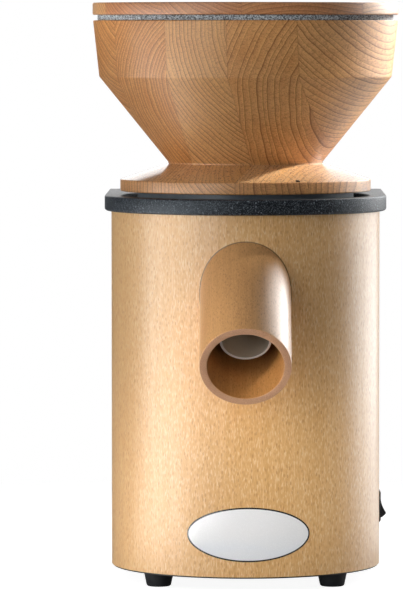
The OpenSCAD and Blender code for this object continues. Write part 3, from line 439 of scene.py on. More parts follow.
@dataclass(frozen=True)
class PlankWood(Finish):
    """Turned and oiled beech, glued from planks."""

    planks: GluedPlanks
    light: Colour
    deep: Colour
    line: Colour
    pale: Colour
    line_share: float = 0.62
    late_share: float = 0.24
    pale_share: float = 0.5
    ray_share: float = 0.22
    pore_share: float = 0.42
    joint_share: float = 0.3
    roughness: float = 0.5
    coat: float = 0.45
    coat_roughness: float = 0.3
    knot: Optional[Place] = None

    def write(self, w: Wiring, place: Wire) -> dict[str, object]:
        """Write plank tones, rings, rays and joints."""
        wood = self.planks.use(w, place)
        tone = w.math("ADD", (wood["Cloud"] - 0.5) * 0.7, wood["Tone"], clamp=True)
        colour = w.layers(
            self.light, (tone, self.deep), (wood["Pale"] * self.pale_share, self.pale),
            (w.span(wood["Pore"], 0.5, 0.34, 0.0, self.pore_share), self.pale),
            (w.span(wood["Pore"], 0.52, 0.68, 0.0, self.pore_share), self.line),
            (wood["Ray"] * self.ray_share, self.line), (wood["Late"] * self.late_share, self.line),
            (wood["Line"] * self.line_share, self.line),
            (wood["Joint"] * self.joint_share, self.line))
        if self.knot is not None:
            off = w.vector("LENGTH", w.vector("SUBTRACT", place, self.knot))
            colour = w.mix(w.span(off, 0.5, 1.3, 0.85, 0.0), colour, self.line)
        height = wood["Line"] + (wood["Ray"] + wood["Pore"])
        return {"Base Color": colour, "Roughness": wood["Line"] * 0.12 + self.roughness,
                "Coat Weight": self.coat, "Coat Roughness": self.coat_roughness,
                "Normal": w.bump(height * -1.0, 0.25, 0.00006)}


@dataclass(frozen=True)
class FleckWood(Finish):
    """Beech cut along its fibres, whose grain runs along an axis turned from Z."""

    fleck: BeechFleck
    base: Colour
    warm: Colour
    dark: Colour
    pale: Colour
    dark_share: float = 0.68
    pale_share: float = 0.6
    streak_share: float = 0.95
    pore_share: float = 0.12
    lean: float = 0.0
    roughness: float = 0.42
    coat: float = 1.0
    coat_roughness: float = 0.34
    joint: Optional[Place] = None  # radius, height and tilt of a joined tube
    # colour of the line round the spout: glue, darkened further as painted shade of the crease
    glue_and_shade: Colour = (96, 56, 26)
    shade_depth: Optional[tuple[float, float]] = None  # along the grain, where painted shade darkens the bore deeper in
    shade: Colour = (74, 44, 16)

    def write(self, w: Wiring, place: Wire) -> dict[str, object]:
        """Write streaks, dark and pale flecks, the glue line with painted shade round the spout,
        and painted shade deep in its bore.
        """
        grain = w.turned(place, x=self.lean) if self.lean else place
        wood = self.fleck.use(w, grain)
        colour = w.layers(
            self.base, (w.span(wood["Streak"], 0.36, 0.64) * self.streak_share, self.warm),
            (wood["Pale"] * self.pale_share, self.pale),
            (wood["Dark"] * self.dark_share, self.dark),
            (wood["Pore"] * self.pore_share, self.dark))
        if self.joint is not None:
            # glue line with painted shade where the spout meets the shell
            colour = w.mix(self.glue_and_shade_line(w, place), colour, self.glue_and_shade)
        if self.shade_depth is not None:
            # painted shade: the bore's colour darkens deeper inside, where less light reaches
            colour = w.mix(w.span(w.split(grain)[2], *self.shade_depth, 0.0, 0.5), colour, self.shade)
        return {"Base Color": colour, "Roughness": wood["Dark"] * 0.1 + self.roughness,
                "Coat Weight": self.coat, "Coat Roughness": self.coat_roughness,
                "Normal": w.bump(wood["Dark"] * -1.0, 0.2, 0.00005)}

    def glue_and_shade_line(self, w: Wiring, place: Wire) -> Wire:
        """Mask of a thin line round the spout's tube, on the front alone: glue, with painted shade
        of the crease where tube and shell meet.
        """
        radius, height, tilt = self.joint
        x, _, z = w.split(w.turned(w.vector("SUBTRACT", place, (0.0, 0.0, height)), x=tilt))
        near = w.math("ABSOLUTE", w.hypot(x, z) - radius)
        return w.span(near, 0.3, 0.8, 0.8, 0.0) * w.math("LESS_THAN", w.split(place)[1], 0.0)


@dataclass(frozen=True)
class Composite(Finish):
    """Moulded composite with bright grains in it."""

    grit: Grit
    base: Colour
    bright: Colour
    dim: Colour
    roughness: float = 0.36
    tint: tuple[float, ...] = (0.82, 0.93, 1.0, 1.0)  # of what it mirrors

    def write(self, w: Wiring, place: Wire) -> dict[str, object]:
        """Write the grains into colour, gloss and bump."""
        grains = self.grit.use(w, place)
        return {"Base Color": w.layers(self.base, (grains["Dim"] * 0.8, self.dim),
                                       (grains["Bright"] * 0.95, self.bright)),
                "Roughness": grains["Bright"] * 0.14 + self.roughness,
                "Specular IOR Level": 0.28, "Specular Tint": self.tint,
                "Normal": w.bump(grains["Height"], 0.8, 0.0003)}


@dataclass(frozen=True)
class Felt(Finish):
    """Pressed grey wool felt."""

    fibres: Fibres
    base: Colour
    light: Colour
    gap: Colour

    def write(self, w: Wiring, place: Wire) -> dict[str, object]:
        """Write hairs and gaps, with the sheen of wool."""
        hairs = self.fibres.use(w, place)
        return {"Base Color": w.layers(self.base, (hairs["Gap"] * 0.9, self.gap),
                                       (hairs["Light"], self.light)), "Roughness": 0.95,
                "Sheen Weight": 0.15, "Sheen Roughness": 0.5,
                "Normal": w.bump(hairs["Height"], 0.9, 0.0005)}


@dataclass(frozen=True)
class Moulded(Finish):
    """Plastic, rubber, stone or metal with a slow mottling and a fine grain."""

    grain: FineGrain
    base: Colour
    worn: Colour
    roughness: float = 0.45
    metallic: float = 0.0
    bump: float = 0.00005
    coat: float = 0.0

    def write(self, w: Wiring, place: Wire) -> dict[str, object]:
        """Write mottled colour and uneven gloss."""
        texture = self.grain.use(w, place)
        share = (w.span(texture["Mottle"], 0.35, 0.65, 0.0, 0.5)
                 + w.span(texture["Grain"], 0.4, 0.65, 0.0, 0.5))
        return {"Base Color": w.mix(share, self.base, self.worn),
                "Roughness": (texture["Grain"] - 0.5) * 0.25 + self.roughness,
                "Metallic": self.metallic, "Coat Weight": self.coat,
                "Normal": w.bump(texture["Grain"], 0.4, self.bump)}


@dataclass(frozen=True)
class Enamel(Finish):
    """Enamelled oval plate: a white face inside a thin dark line."""

    half_w: float
    half_h: float
    middle: tuple[float, float]
    line_w: float
    face: Colour
    shade: Colour
    line: Colour

    def write(self, w: Wiring, place: Wire) -> dict[str, object]:
        """Write the face, its soft shading and the line along its edge."""
        x, _, z = w.split(place)
        across = (x - self.middle[0]) / self.half_w
        up = (z - self.middle[1]) / self.half_h
        out = w.hypot(across, up)
        narrow = w.math("DIVIDE", self.half_h * self.half_w,
                        w.hypot(across * self.half_h, up * self.half_w))
        edge = w.span((1.0 - out) * (narrow * out), self.line_w * 0.8, self.line_w * 1.2, 1.0, 0.0)
        cloud = w.span(w.noise(w.stretch(place, 22, 22, 9), 1.0), 0.3, 0.7, 0.5, 1.0)
        dust = w.noise(w.stretch(place, 0.6))
        return {"Base Color": w.layers(self.face, (w.span(up, 0.2, -1.0) * cloud, self.shade),
                                       (edge, self.line)),
                "Roughness": w.span(dust, 0.3, 0.7, 0.2, 0.3), "Coat Weight": 0.6,
                "Coat Roughness": 0.12, "Normal": w.bump(dust, 0.15, 0.00002)}


TURN = 19.1  # of the bowl's and the disc's fibres
LID_TURN = 28.7

BOWL_PLANKS = GluedPlanks("bowl_planks", (
    Plank(-200.0, -27.0, 430.0, 3.3, 0.8),
    Plank(-66.5, 20.0, 339.0, 2.7, 0.8),
    Plank(-22.0, 80.7, 387.0, 2.9, 0.2),
    Plank(21.8, 194.0, 300.0, 3.9, 0.46),
    Plank(65.8, 255.0, 505.0, 3.5, 0.36),
), TURN)
DISC_PLANKS = GluedPlanks("disc_planks", (
    Plank(-200.0, -190.0, 300.0, 3.0, 0.6),
    Plank(-66.5, -190.0, 280.0, 3.1, 0.75),
    Plank(-22.0, 45.0, 320.0, 2.9, 0.3),
    Plank(21.8, 170.0, 292.0, 3.6, 0.95),
    Plank(65.8, -90.0, 270.0, 2.6, 0.6),
), TURN)
LID_PLANKS = GluedPlanks("lid_planks", (
    Plank(-200.0, -130.0, 340.0, 2.2, 0.0),
    Plank(-62.4, 10.0, 470.0, 2.6, 0.8),
    Plank(-6.9, 62.0, 470.0, 2.9, 0.8),
    Plank(48.7, 78.0, 342.0, 3.0, 0.7),
    Plank(104.2, 40.0, 470.0, 2.9, 0.3),
), LID_TURN)

SPOUT_TILT = 40.0
SPOUT_Z = 199.2
SPOUT_R = 31.06
BODY_R = 93.9
SPOUT_ON_AXIS_Z = SPOUT_Z + BODY_R * math.tan(math.radians(SPOUT_TILT))
ALONG_SPOUT = {"lean": 90.0 - SPOUT_TILT, "streak_share": 0.7}


class Finishes:
    """Every finish of the mill."""

    BOWL = PlankWood(
        "oiled_bowl_beech", BOWL_PLANKS, (219, 167, 110), (184, 115, 48), (118, 68, 28),
        (230, 174, 106), 0.72, coat=0.26)
    DISC = PlankWood(
        "oiled_disc_beech", DISC_PLANKS, (216, 160, 98), (226, 182, 134), (104, 54, 20),
        (224, 166, 98), 0.36, 0.16, 0.4, pore_share=0.9, coat=1.0, coat_roughness=0.09,
        knot=(-46.0, -58.0, 284.6))
    DISC_EDGE = PlankWood(
        "oiled_disc_edge", DISC_PLANKS, (220, 162, 104), (204, 144, 88), (108, 60, 26),
        (226, 170, 106), coat=0.5, coat_roughness=0.32)
    LID = PlankWood(
        "oiled_lid_beech", LID_PLANKS, (218, 166, 106), (174, 110, 66), (116, 62, 34),
        (208, 148, 98), coat=0.8, coat_roughness=0.42)
    # the joint gives a dark line round the spout: glue with painted shade of the crease
    SHELL = FleckWood(
        "veneered_shell", BeechFleck("shell_fleck"), (242, 193, 129), (228, 173, 102),
        (198, 130, 66), (255, 222, 172), 0.56, 0.72, 0.6,
        joint=(SPOUT_R, SPOUT_ON_AXIS_Z, -SPOUT_TILT))
    SPOUT = FleckWood(
        "oiled_spout_beech", BeechFleck("spout_fleck", 0.55, 2.4), (216, 163, 104), (200, 145, 88),
        (156, 102, 56), (228, 178, 122), 0.45, 0.4, coat_roughness=0.38, **ALONG_SPOUT)
    SPOUT_END = FleckWood(
        "sanded_spout_end", BeechFleck("end_fleck", 0.4, 0.6), (200, 154, 120), (188, 141, 108),
        (150, 104, 76), (220, 176, 142), 0.4, 0.4, 0.6, roughness=0.75, coat=0.0)
    # the bore turns darker deeper in: painted shade
    SPOUT_BORE = FleckWood(
        "oiled_spout_bore", BeechFleck("bore_fleck", 0.5, 2.6), (198, 140, 78), (182, 122, 62),
        (128, 78, 36), (216, 164, 104), 0.45, 0.25, roughness=0.5, coat=0.2, shade_depth=(4.0, 22.0),
        **ALONG_SPOUT)
    PANEL = FleckWood(
        "beech_ply", BeechFleck("ply_fleck", 0.7, 4.5), (218, 174, 120), (204, 156, 100),
        (160, 110, 64), (232, 196, 150))
    BATTEN = FleckWood(
        "sawn_batten", BeechFleck("batten_fleck", 0.6, 3.0), (206, 158, 106), (192, 142, 90),
        (150, 100, 58), (220, 180, 132), roughness=0.7, coat=0.0)
    PLATE = Composite(
        "speckled_plate", Grit("plate_grit"), (26, 30, 36), (132, 140, 148), (8, 10, 14))
    FELT = Felt("grey_felt", Fibres("felt_fibres"), (132, 140, 145), (208, 218, 224), (50, 55, 60))
    RING = Moulded("satin_ring", FineGrain("ring_grain"), (124, 136, 146), (142, 152, 162), 0.3)
    BASE = Moulded("base_moulding", FineGrain("base_grain"), (34, 34, 36), (48, 48, 50))
    RUBBER = Moulded(
        "foot_rubber_mat", FineGrain("rubber_grain", 6.0, 0.4), (26, 27, 29), (42, 43, 46), 0.6,
        bump=0.0001)
    LINER = Moulded("liner_tube", FineGrain("liner_grain"), (236, 236, 234), (220, 219, 215), 0.35)
    # darker copy of the liner's plastic for its inner wall: painted shade inside the tube
    LINER_BORE_SHADE = Moulded(
        "liner_bore_shade", FineGrain("liner_grain"), (200, 190, 172), (186, 176, 158), 0.5)
    MARK = Moulded("black_mark", FineGrain("mark_grain", 3.0, 0.2), (6, 6, 8), (12, 12, 14), 0.85)
    COLLAR = Moulded("collar_moulding", FineGrain("collar_grain"), (30, 26, 24), (44, 40, 36))
    SWITCH = Moulded(
        "switch_moulding", FineGrain("switch_grain", 5.0, 0.3), (20, 21, 24), (30, 31, 35), 0.22,
        bump=0.00002, coat=0.4)
    STEEL = Moulded(
        "zinc_steel", FineGrain("steel_grain", 3.0, 0.25, 4.0), (196, 198, 202), (168, 170, 174),
        0.32, 1.0)
    CAST = Moulded(
        "die_cast", FineGrain("cast_grain", 8.0, 0.6), (176, 178, 182), (150, 152, 156), 0.5, 1.0,
        0.00012)
    BRASS = Moulded(
        "turned_brass", FineGrain("brass_grain", 4.0, 0.3, 3.0), (208, 172, 98), (176, 138, 70),
        0.3, 1.0)
    STONE = Moulded(
        "corundum_stone", FineGrain("stone_grain", 5.0, 0.9), (214, 208, 196), (158, 152, 142), 0.9,
        0.0, 0.0006)
    CORE = Moulded(
        "core_sheets", FineGrain("core_grain", 9.0, 0.5, 0.3), (120, 126, 136), (92, 98, 108), 0.5,
        1.0, 0.0001)
    COPPER = Moulded(
        "enamelled_copper", FineGrain("copper_grain", 2.0, 0.35, 6.0), (186, 108, 60),
        (132, 66, 34), 0.35, 0.7, 0.00025, 0.4)
    BEARING = Moulded(
        "ground_steel", FineGrain("ground_grain", 6.0, 0.2), (214, 214, 218), (196, 196, 200), 0.16,
        1.0, 0.00001)
    WHITE = Moulded(
        "white_moulding", FineGrain("white_grain"), (232, 230, 224), (216, 213, 205), 0.4)
    LEAD = Moulded(
        "lead_sleeve", FineGrain("lead_grain", 5.0, 0.3), (54, 58, 74), (40, 42, 54), 0.5)
    BLADE = Moulded(
        "switch_contact", FineGrain("contact_grain", 2.0, 0.2, 3.0), (206, 184, 128),
        (178, 152, 96), 0.3, 1.0)
    BADGE = Enamel(
        "badge_enamel", 42.0, 18.7, (2.0, 39.9), 1.0, (255, 255, 255), (244, 249, 255),
        (22, 28, 36))


# ---- Building meshes ----


Edge = bmesh.types.BMEdge
Piece = bpy.types.Object

LATHE_STEPS = 192
BROAD_STEPS = 256  # for the broad wooden pieces
ROUNDING_STEPS = 5
SAME_PLACE = 1e-4


@dataclass(frozen=True)
class Corner:
    """Corner of an outline that is turned on a lathe, and how far it is rounded."""

    r: float
    z: float
    rounding: float = 0.0


def added(name: str, data: bpy.types.ID) -> Piece:
    """A new object, linked to the scene."""
    made = bpy.data.objects.new(name, data)
    bpy.context.scene.collection.objects.link(made)
    return made


def close(work: bmesh.types.BMesh) -> None:
    """Merge what lies in one place, and turn every face outwards."""
    bmesh.ops.remove_doubles(work, verts=work.verts[:], dist=SAME_PLACE)
    bmesh.ops.recalc_face_normals(work, faces=work.faces[:])


class Solid:
    """Mesh of one piece, in millimetres about the mill's axis, with Y to the back."""

    def __init__(self) -> None:
        """Start with nothing."""
        self.mesh = bmesh.new()

    def turn(self, *outline: tuple[float, ...], steps: int = LATHE_STEPS) -> "Solid":
        """Turn a closed outline, or one with both ends on the axis, about Z.

        Args:
            *outline: Radius, height and rounding of each corner, in order.
            steps: Faces round the axis.

        Returns:
            The solid itself.
        """
        corners = [Corner(*values) for values in outline]
        work = bmesh.new()
        points = [work.verts.new((c.r, 0.0, c.z)) for c in corners]
        open_ended = corners[0].r == 0 and corners[-1].r == 0
        ends = points[1:] if open_ended else points[1:] + points[:1]
        for pair in zip(points, ends):
            work.edges.new(pair)
        for rounding in sorted({c.rounding for c in corners if c.rounding > 0}):
            picked = [p for p, c in zip(points, corners) if c.rounding == rounding]
            bmesh.ops.bevel(work, geom=picked, offset=rounding, offset_type="OFFSET",
                            segments=ROUNDING_STEPS, profile=0.5, affect="VERTICES", material=-1)
        bmesh.ops.spin(work, geom=work.verts[:] + work.edges[:], cent=(0, 0, 0), axis=(0, 0, 1),
                       dvec=(0, 0, 0), angle=math.tau, steps=steps, use_merge=True,
                       use_duplicate=False)
        close(work)
        return self.take(work)

    def take(self, work: bmesh.types.BMesh) -> "Solid":
        """Add another mesh to this one and free it."""
        carrier = bpy.data.meshes.new("carrier")
        work.to_mesh(carrier)
        work.free()
        self.mesh.from_mesh(carrier)
        bpy.data.meshes.remove(carrier)
        return self

    def copy(self, node: str) -> "Solid":
        """Add a merged copy of a CAD node's mesh."""
        work = bmesh.new()
        work.from_mesh(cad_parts[node].data)
        bmesh.ops.transform(work, matrix=Matrix.Scale(1 / MM, 4) @ Matrix.Translation(
            (0, -AXIS_Y, 0)), verts=work.verts[:])
        bmesh.ops.remove_doubles(work, verts=work.verts[:], dist=1e-3)
        bmesh.ops.dissolve_limit(work, angle_limit=math.radians(0.6), verts=work.verts[:],
                                 edges=work.edges[:])
        return self.take(work)

    def soften(self, width: float, where: Callable[[Edge], bool], segments: int = 3) -> "Solid":
        """Bevel the edges that where picks out."""
        picked = [e for e in self.mesh.edges if e.is_manifold and where(e)]
        if picked:
            bmesh.ops.bevel(self.mesh, geom=picked, offset=width, offset_type="OFFSET",
                            segments=segments, profile=0.5, affect="EDGES", material=-1,
                            clamp_overlap=True)
        return self

    def cut(self, point: Vector, normal: Vector) -> list[Edge]:
        """Cut away what lies beyond a plane, and give the open edges that this leaves."""
        made = bmesh.ops.bisect_plane(self.mesh, geom=self.mesh.verts[:] + self.mesh.edges[:]
                                      + self.mesh.faces[:], plane_co=point, plane_no=normal,
                                      clear_outer=True)
        return [e for e in made["geom_cut"] if isinstance(e, Edge)]

    def move(self, matrix: Matrix) -> "Solid":
        """Move the whole solid."""
        bmesh.ops.transform(self.mesh, matrix=matrix, verts=self.mesh.verts[:])
        return self

    def piece(self, name: str, body: Body, slot: Slot, replaces: str, *finishes: Finish,
              crease: float = 34.0) -> Piece:
        """Make the object, dress it and join it to the frame.

        Args:
            name: The piece's name.
            body: Body that it rides on.
            slot: Slot of the record that its finish comes from; not used.
            replaces: CAD node that it stands for.
            *finishes: Its finishes, in the order of the faces' material numbers.
            crease: Angle, in degrees, past which an edge stays sharp.

        Returns:
            The object.
        """
        for face in self.mesh.faces:
            face.smooth = True
        for edge in self.mesh.edges:
            edge.smooth = edge.is_manifold and edge.calc_face_angle(0.0) < math.radians(crease)
        self.move(Matrix.Translation((0, AXIS_Y, 0)) @ Matrix.Scale(MM, 4))
        data = bpy.data.meshes.new(name)
        self.mesh.to_mesh(data)
        self.mesh.free()
        made = added(name, data)
        for finish in finishes:
            data.materials.append(finish.material())
        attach(made, body.value)
        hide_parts(replaces)
        log.info("%s: %d faces on %s", name, len(data.polygons), body.value)
        return made


def sharp(edge: Edge, degrees: float) -> bool:
    """Whether an edge's faces meet at more than an angle."""
    return edge.calc_face_angle(0.0) > math.radians(degrees)


def eased(node: str, width: float, segments: int, degrees: float,
          beyond: Callable[[Vector], bool]) -> Solid:
    """Copy a CAD node and round its sharp edges on the side that shows.

    Args:
        node: The node.
        width: Width of the rounding.
        segments: Faces across the rounding.
        degrees: Angle past which an edge is sharp.
        beyond: Whether a place is on the side that shows.

    Returns:
        The copy.
    """
    return Solid().copy(node).soften(
        width, lambda e: sharp(e, degrees) and all(beyond(v.co) for v in e.verts), segments)


def dress(finish: Finish, *nodes: str) -> None:
    """Give CAD nodes a finish, and leave their shapes alone."""
    for node in nodes:
        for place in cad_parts[node].material_slots:
            place.material = finish.material()
        log.info("%s: dressed in %s", node, finish.title)


# ---- Sub-assemblies ----


@dataclass
class Hopper:
    """Bowl, base disc, adjusting ring and setting mark, which turn together."""

    rim_r: float = 106.5
    ridge_r: float = 102.2
    waist_r: float = 54.0
    wall: float = 11.5
    throat_r: float = 17.0
    z_throat: float = 247.3
    z_ring_low: float = 264.0
    z_ring: float = 271.9
    z_edge: float = 280.1
    z_waist: float = 291.2
    z_ridge: float = 351.7
    z_rim: float = 390.9
    disc_r: float = 87.6
    ring_r: float = 75.6
    ring_wall: float = 4.0
    thread_r: float = 60.0
    thread_gap: float = 0.05
    skirt_h: float = 10.0
    skirt_wall: float = 10.0
    tenon_h: float = 4.0
    tenon_in: float = 6.0
    tenon_gap: float = 0.05
    collar_h: float = 0.9
    mark_in: float = 2.4
    mark_r: float = 1.45
    mark_depth: float = 3.0
    mark_angle: float = 24.8

    def funnel_r(self, z: float) -> float:
        """Radius of the funnel inside the hopper at a height."""
        slope = (self.ridge_r - self.wall - self.throat_r) / (self.z_ridge - self.z_throat)
        return self.throat_r + (z - self.z_throat) * slope

    def bowl(self) -> Piece:
        """Turned bowl with lightly rounded edges."""
        low = self.z_waist - self.tenon_h
        tenon_r = self.waist_r - self.tenon_in
        ridge_in = self.ridge_r - self.wall
        bowl = Solid().turn(
            (self.funnel_r(low), low), (tenon_r, low), (tenon_r, self.z_waist),
            (self.waist_r, self.z_waist), (self.waist_r, self.z_waist + self.collar_h, 0.5),
            (self.ridge_r, self.z_ridge, 0.8), (self.rim_r, self.z_rim, 0.7),
            (self.rim_r - self.wall + 1.5, self.z_rim, 0.6),
            (ridge_in + 1, self.z_ridge + 3, 0.8), (ridge_in, self.z_ridge, 0.5),
            steps=BROAD_STEPS)
        return bowl.piece("turned_bowl", Body.HOPPER, Slot.HOPPER, "hopper_bowl", Finishes.BOWL)

    def disc(self) -> Piece:
        """Turned base disc: a flat cone with an upright edge."""
        low = self.z_waist - self.tenon_h
        socket_r = self.waist_r - self.tenon_in + self.tenon_gap
        disc = Solid().turn(
            (self.funnel_r(self.z_ring), self.z_ring), (self.disc_r, self.z_ring, 0.9),
            (self.disc_r, self.z_edge, 0.7), (self.waist_r, self.z_waist, 0.2),
            (socket_r, self.z_waist), (socket_r, low), (self.funnel_r(low), low),
            steps=BROAD_STEPS)
        for face in disc.mesh.faces:
            face.material_index = int(abs(face.normal.z) < 0.8)
        return disc.piece("turned_disc", Body.HOPPER, Slot.HOPPER, "hopper_base", Finishes.DISC,
                          Finishes.DISC_EDGE)

    def ring(self) -> Piece:
        """Moulded ring whose threaded skirt screws into the chamber."""
        low = self.z_ring_low - self.skirt_h
        skirt_in = self.thread_r - self.skirt_wall
        skirt_out = self.thread_r - self.thread_gap
        ring = Solid().turn(
            (self.throat_r, self.z_throat), (self.throat_r + self.ring_wall, self.z_throat),
            (self.funnel_r(self.z_ring_low) + self.ring_wall, self.z_ring_low),
            (skirt_in, self.z_ring_low), (skirt_in, low), (skirt_out, low, 0.6),
            (skirt_out, self.z_ring_low), (self.ring_r, self.z_ring_low, 0.8),
            (self.ring_r, self.z_ring, 0.5), (self.funnel_r(self.z_ring), self.z_ring))
        return ring.piece("moulded_ring", Body.HOPPER, Slot.RING, "adjusting_ring", Finishes.RING)

    def mark(self) -> Piece:
        """Setting mark: a black pin that stands a little proud of the disc's cone."""
        slope = math.atan2(self.z_waist - self.z_edge, self.disc_r - self.waist_r)
        stand = (Matrix.Rotation(math.radians(self.mark_angle), 4, "Z")
                 @ Matrix.Translation((0, self.mark_in - self.disc_r,
                                       self.z_edge + self.mark_in * math.tan(slope)))
                 @ Matrix.Rotation(slope, 4, "X"))
        pin = Solid().turn((0.0, -self.mark_depth), (self.mark_r, -self.mark_depth),
                           (self.mark_r, 0.5, 0.2), (0.0, 0.6), steps=32)
        return pin.move(stand).piece("setting_mark", Body.HOPPER, Slot.BASE, "index_pin",
                                     Finishes.MARK)

    def build(self) -> None:
        """Make every piece of the hopper."""
        self.bowl()
        self.disc()
        self.ring()
        self.mark()
        dress(Finishes.STEEL, "ring_screws")


@dataclass
class Lid:
    """Turned lid with its locating boss, and the felt ring under it."""

    lid_r: float = 106.8
    boss_r: float = 95.0
    z_rim: float = 390.9
    z_lid: float = 394.7
    thickness: float = 8.5
    boss_h: float = 7.8
    felt_r: float = 103.4
    felt_gap: float = 0.05  # to the boss
    felt_steps: int = 900
    hair: float = 0.11

    def cover(self) -> Piece:
        """Lid with rounded edges."""
        low, top = self.z_lid - self.boss_h, self.z_lid + self.thickness
        lid = Solid().turn((0.0, low), (self.boss_r, low, 0.8), (self.boss_r, self.z_lid),
                           (self.lid_r, self.z_lid, 1.1), (self.lid_r, top, 1.0), (0.0, top),
                           steps=BROAD_STEPS)
        return lid.piece("turned_lid", Body.LID, Slot.HOPPER, "lid", Finishes.LID)

    def seal(self) -> Piece:
        """Felt ring with an uneven, hairy edge."""
        inner, outer = self.boss_r + self.felt_gap, self.felt_r - self.hair - 0.01
        felt = Solid().turn((inner, self.z_rim), (outer, self.z_rim, 0.5),
                            (outer, self.z_lid, 0.5), (inner, self.z_lid), steps=self.felt_steps)
        middle = (self.z_rim + self.z_lid) / 2
        for vert in felt.mesh.verts:
            if vert.co.xy.length > self.felt_r - 0.9:
                angle = math.atan2(vert.co.y, vert.co.x)
                wave = (math.sin(angle * 311) + math.sin(angle * 197 + 1.3)
                        + math.sin(angle * 433 + vert.co.z * 3)) / 3
                side = Vector((vert.co.x, vert.co.y, 0)).normalized()
                vert.co += side * self.hair * wave * (1 if abs(vert.co.z - middle) > 1 else 0.8)
        made = felt.piece("felt_ring", Body.LID, Slot.FELT, "felt_seal", Finishes.FELT)
        return made

    def build(self) -> None:
        """Make the lid and its felt."""
        self.cover()
        self.seal()


@dataclass
class TopPlate:
    """Speckled plate with a recess for the adjusting ring."""

    z_low: float = 258.2
    z_top: float = 268.9
    half_w: float = 98.6
    back: float = 123.0

    def outer(self, edge: Edge) -> bool:
        """Whether an edge lies on the plate's outline."""
        def outside(x: float, y: float) -> bool:
            """Whether a place in the plan is on the outline."""
            arc = abs(math.hypot(x, y) - self.half_w) < 0.2 and y <= 0.01
            straight = abs(abs(x) - self.half_w) < 0.1 or abs(y - self.back) < 0.1
            return arc or (y > -0.01 and straight)

        return all(outside(v.co.x, v.co.y) for v in edge.verts)

    @staticmethod
    def level(edge: Edge, z: float) -> bool:
        """Whether an edge is sharp and both its ends lie at a height."""
        return all(abs(v.co.z - z) < 0.05 for v in edge.verts) and sharp(edge, 60)

    def build(self) -> Piece:
        """Copy the plate and round its edges."""
        plate = Solid().copy("top_plate")
        plate.soften(2.0, lambda e: self.level(e, self.z_low) and self.outer(e), 5)
        plate.soften(0.9, lambda e: self.level(e, self.z_top), 4)
        return plate.piece("moulded_plate", Body.HOUSING, Slot.PLATE, "top_plate", Finishes.PLATE)


@dataclass
class Spout:
    """Turned tube glued through the shell, with its liner and collar."""

    tilt: float = SPOUT_TILT
    mouth_tilt: float = 31.1
    outer_r: float = SPOUT_R
    wall: float = 5.2
    z: float = SPOUT_Z
    reach: float = 63.3
    root_front: float = 86.0
    uncut: tuple[float, float] = (-70.0, 130.0)  # ends along the axis, before both cuts
    liner_ends: tuple[float, float] = (-33.81, 38.3)
    liner_r: float = 17.6
    liner_wall: float = 1.8

    def frame_of(self) -> Matrix:
        """Turns and moves +Z onto the spout's axis, from where that leaves the shell."""
        return (Matrix.Translation((0, -BODY_R, self.z))
                @ Matrix.Rotation(math.radians(90 + self.tilt), 4, "X"))

    def tube(self) -> Piece:
        """Tube cut square to its mouth's plane, with softened rims."""
        inner_r, axis = self.outer_r - self.wall, self.frame_of()
        start, stop = self.uncut
        tube = Solid().turn((inner_r, start), (self.outer_r, start), (self.outer_r, stop),
                            (inner_r, stop), steps=160).move(axis)
        tilt, mouth = math.radians(self.tilt), math.radians(self.mouth_tilt)
        end = Vector((0, -BODY_R - self.reach * math.cos(tilt),
                      self.z - self.reach * math.sin(tilt)))
        facing = Vector((0, -math.cos(mouth), -math.sin(mouth)))
        root = Vector((0, -self.root_front, 0))
        for point, normal in ((end, facing), (root, Vector((0, 1, 0)))):
            bmesh.ops.bridge_loops(tube.mesh, edges=tube.cut(point, normal))
        close(tube.mesh)

        def at_mouth(edge: Edge) -> bool:
            """Whether an edge is one of the mouth's rims."""
            return sharp(edge, 30) and all(abs((v.co - end).dot(facing)) < 0.01
                                           for v in edge.verts)

        tube.soften(0.55, at_mouth, 4)
        to_axis = axis.inverted()
        for face in tube.mesh.faces:
            if face.normal.dot(facing) > 0.93:
                face.material_index = 1
            elif (to_axis @ face.calc_center_median()).xy.length < inner_r + 0.2:
                face.material_index = 2
        return tube.piece("turned_spout", Body.HOUSING, Slot.SPOUT, "spout", Finishes.SPOUT,
                          Finishes.SPOUT_END, Finishes.SPOUT_BORE)

    def liner(self) -> Piece:
        """Pale tube inside the spout, with a rounded end."""
        start, end = self.liner_ends
        inner_r = self.liner_r - self.liner_wall
        tube = Solid().turn((inner_r, start), (self.liner_r, start), (self.liner_r, end, 0.5),
                            (inner_r, end, 0.5), steps=96)
        for face in tube.mesh.faces:
            # the inner wall takes the darker copy of the plastic: painted shade inside the tube
            face.material_index = int(face.calc_center_median().xy.length < inner_r + 0.05)
        return tube.move(self.frame_of()).piece("liner_tube", Body.HOUSING, Slot.LINER,
                                                "chute_liner", Finishes.LINER, Finishes.LINER_BORE_SHADE)

    def build(self) -> None:
        """Make the tube and its liner."""
        self.tube()
        self.liner()
        dress(Finishes.COLLAR, "chute_collar")


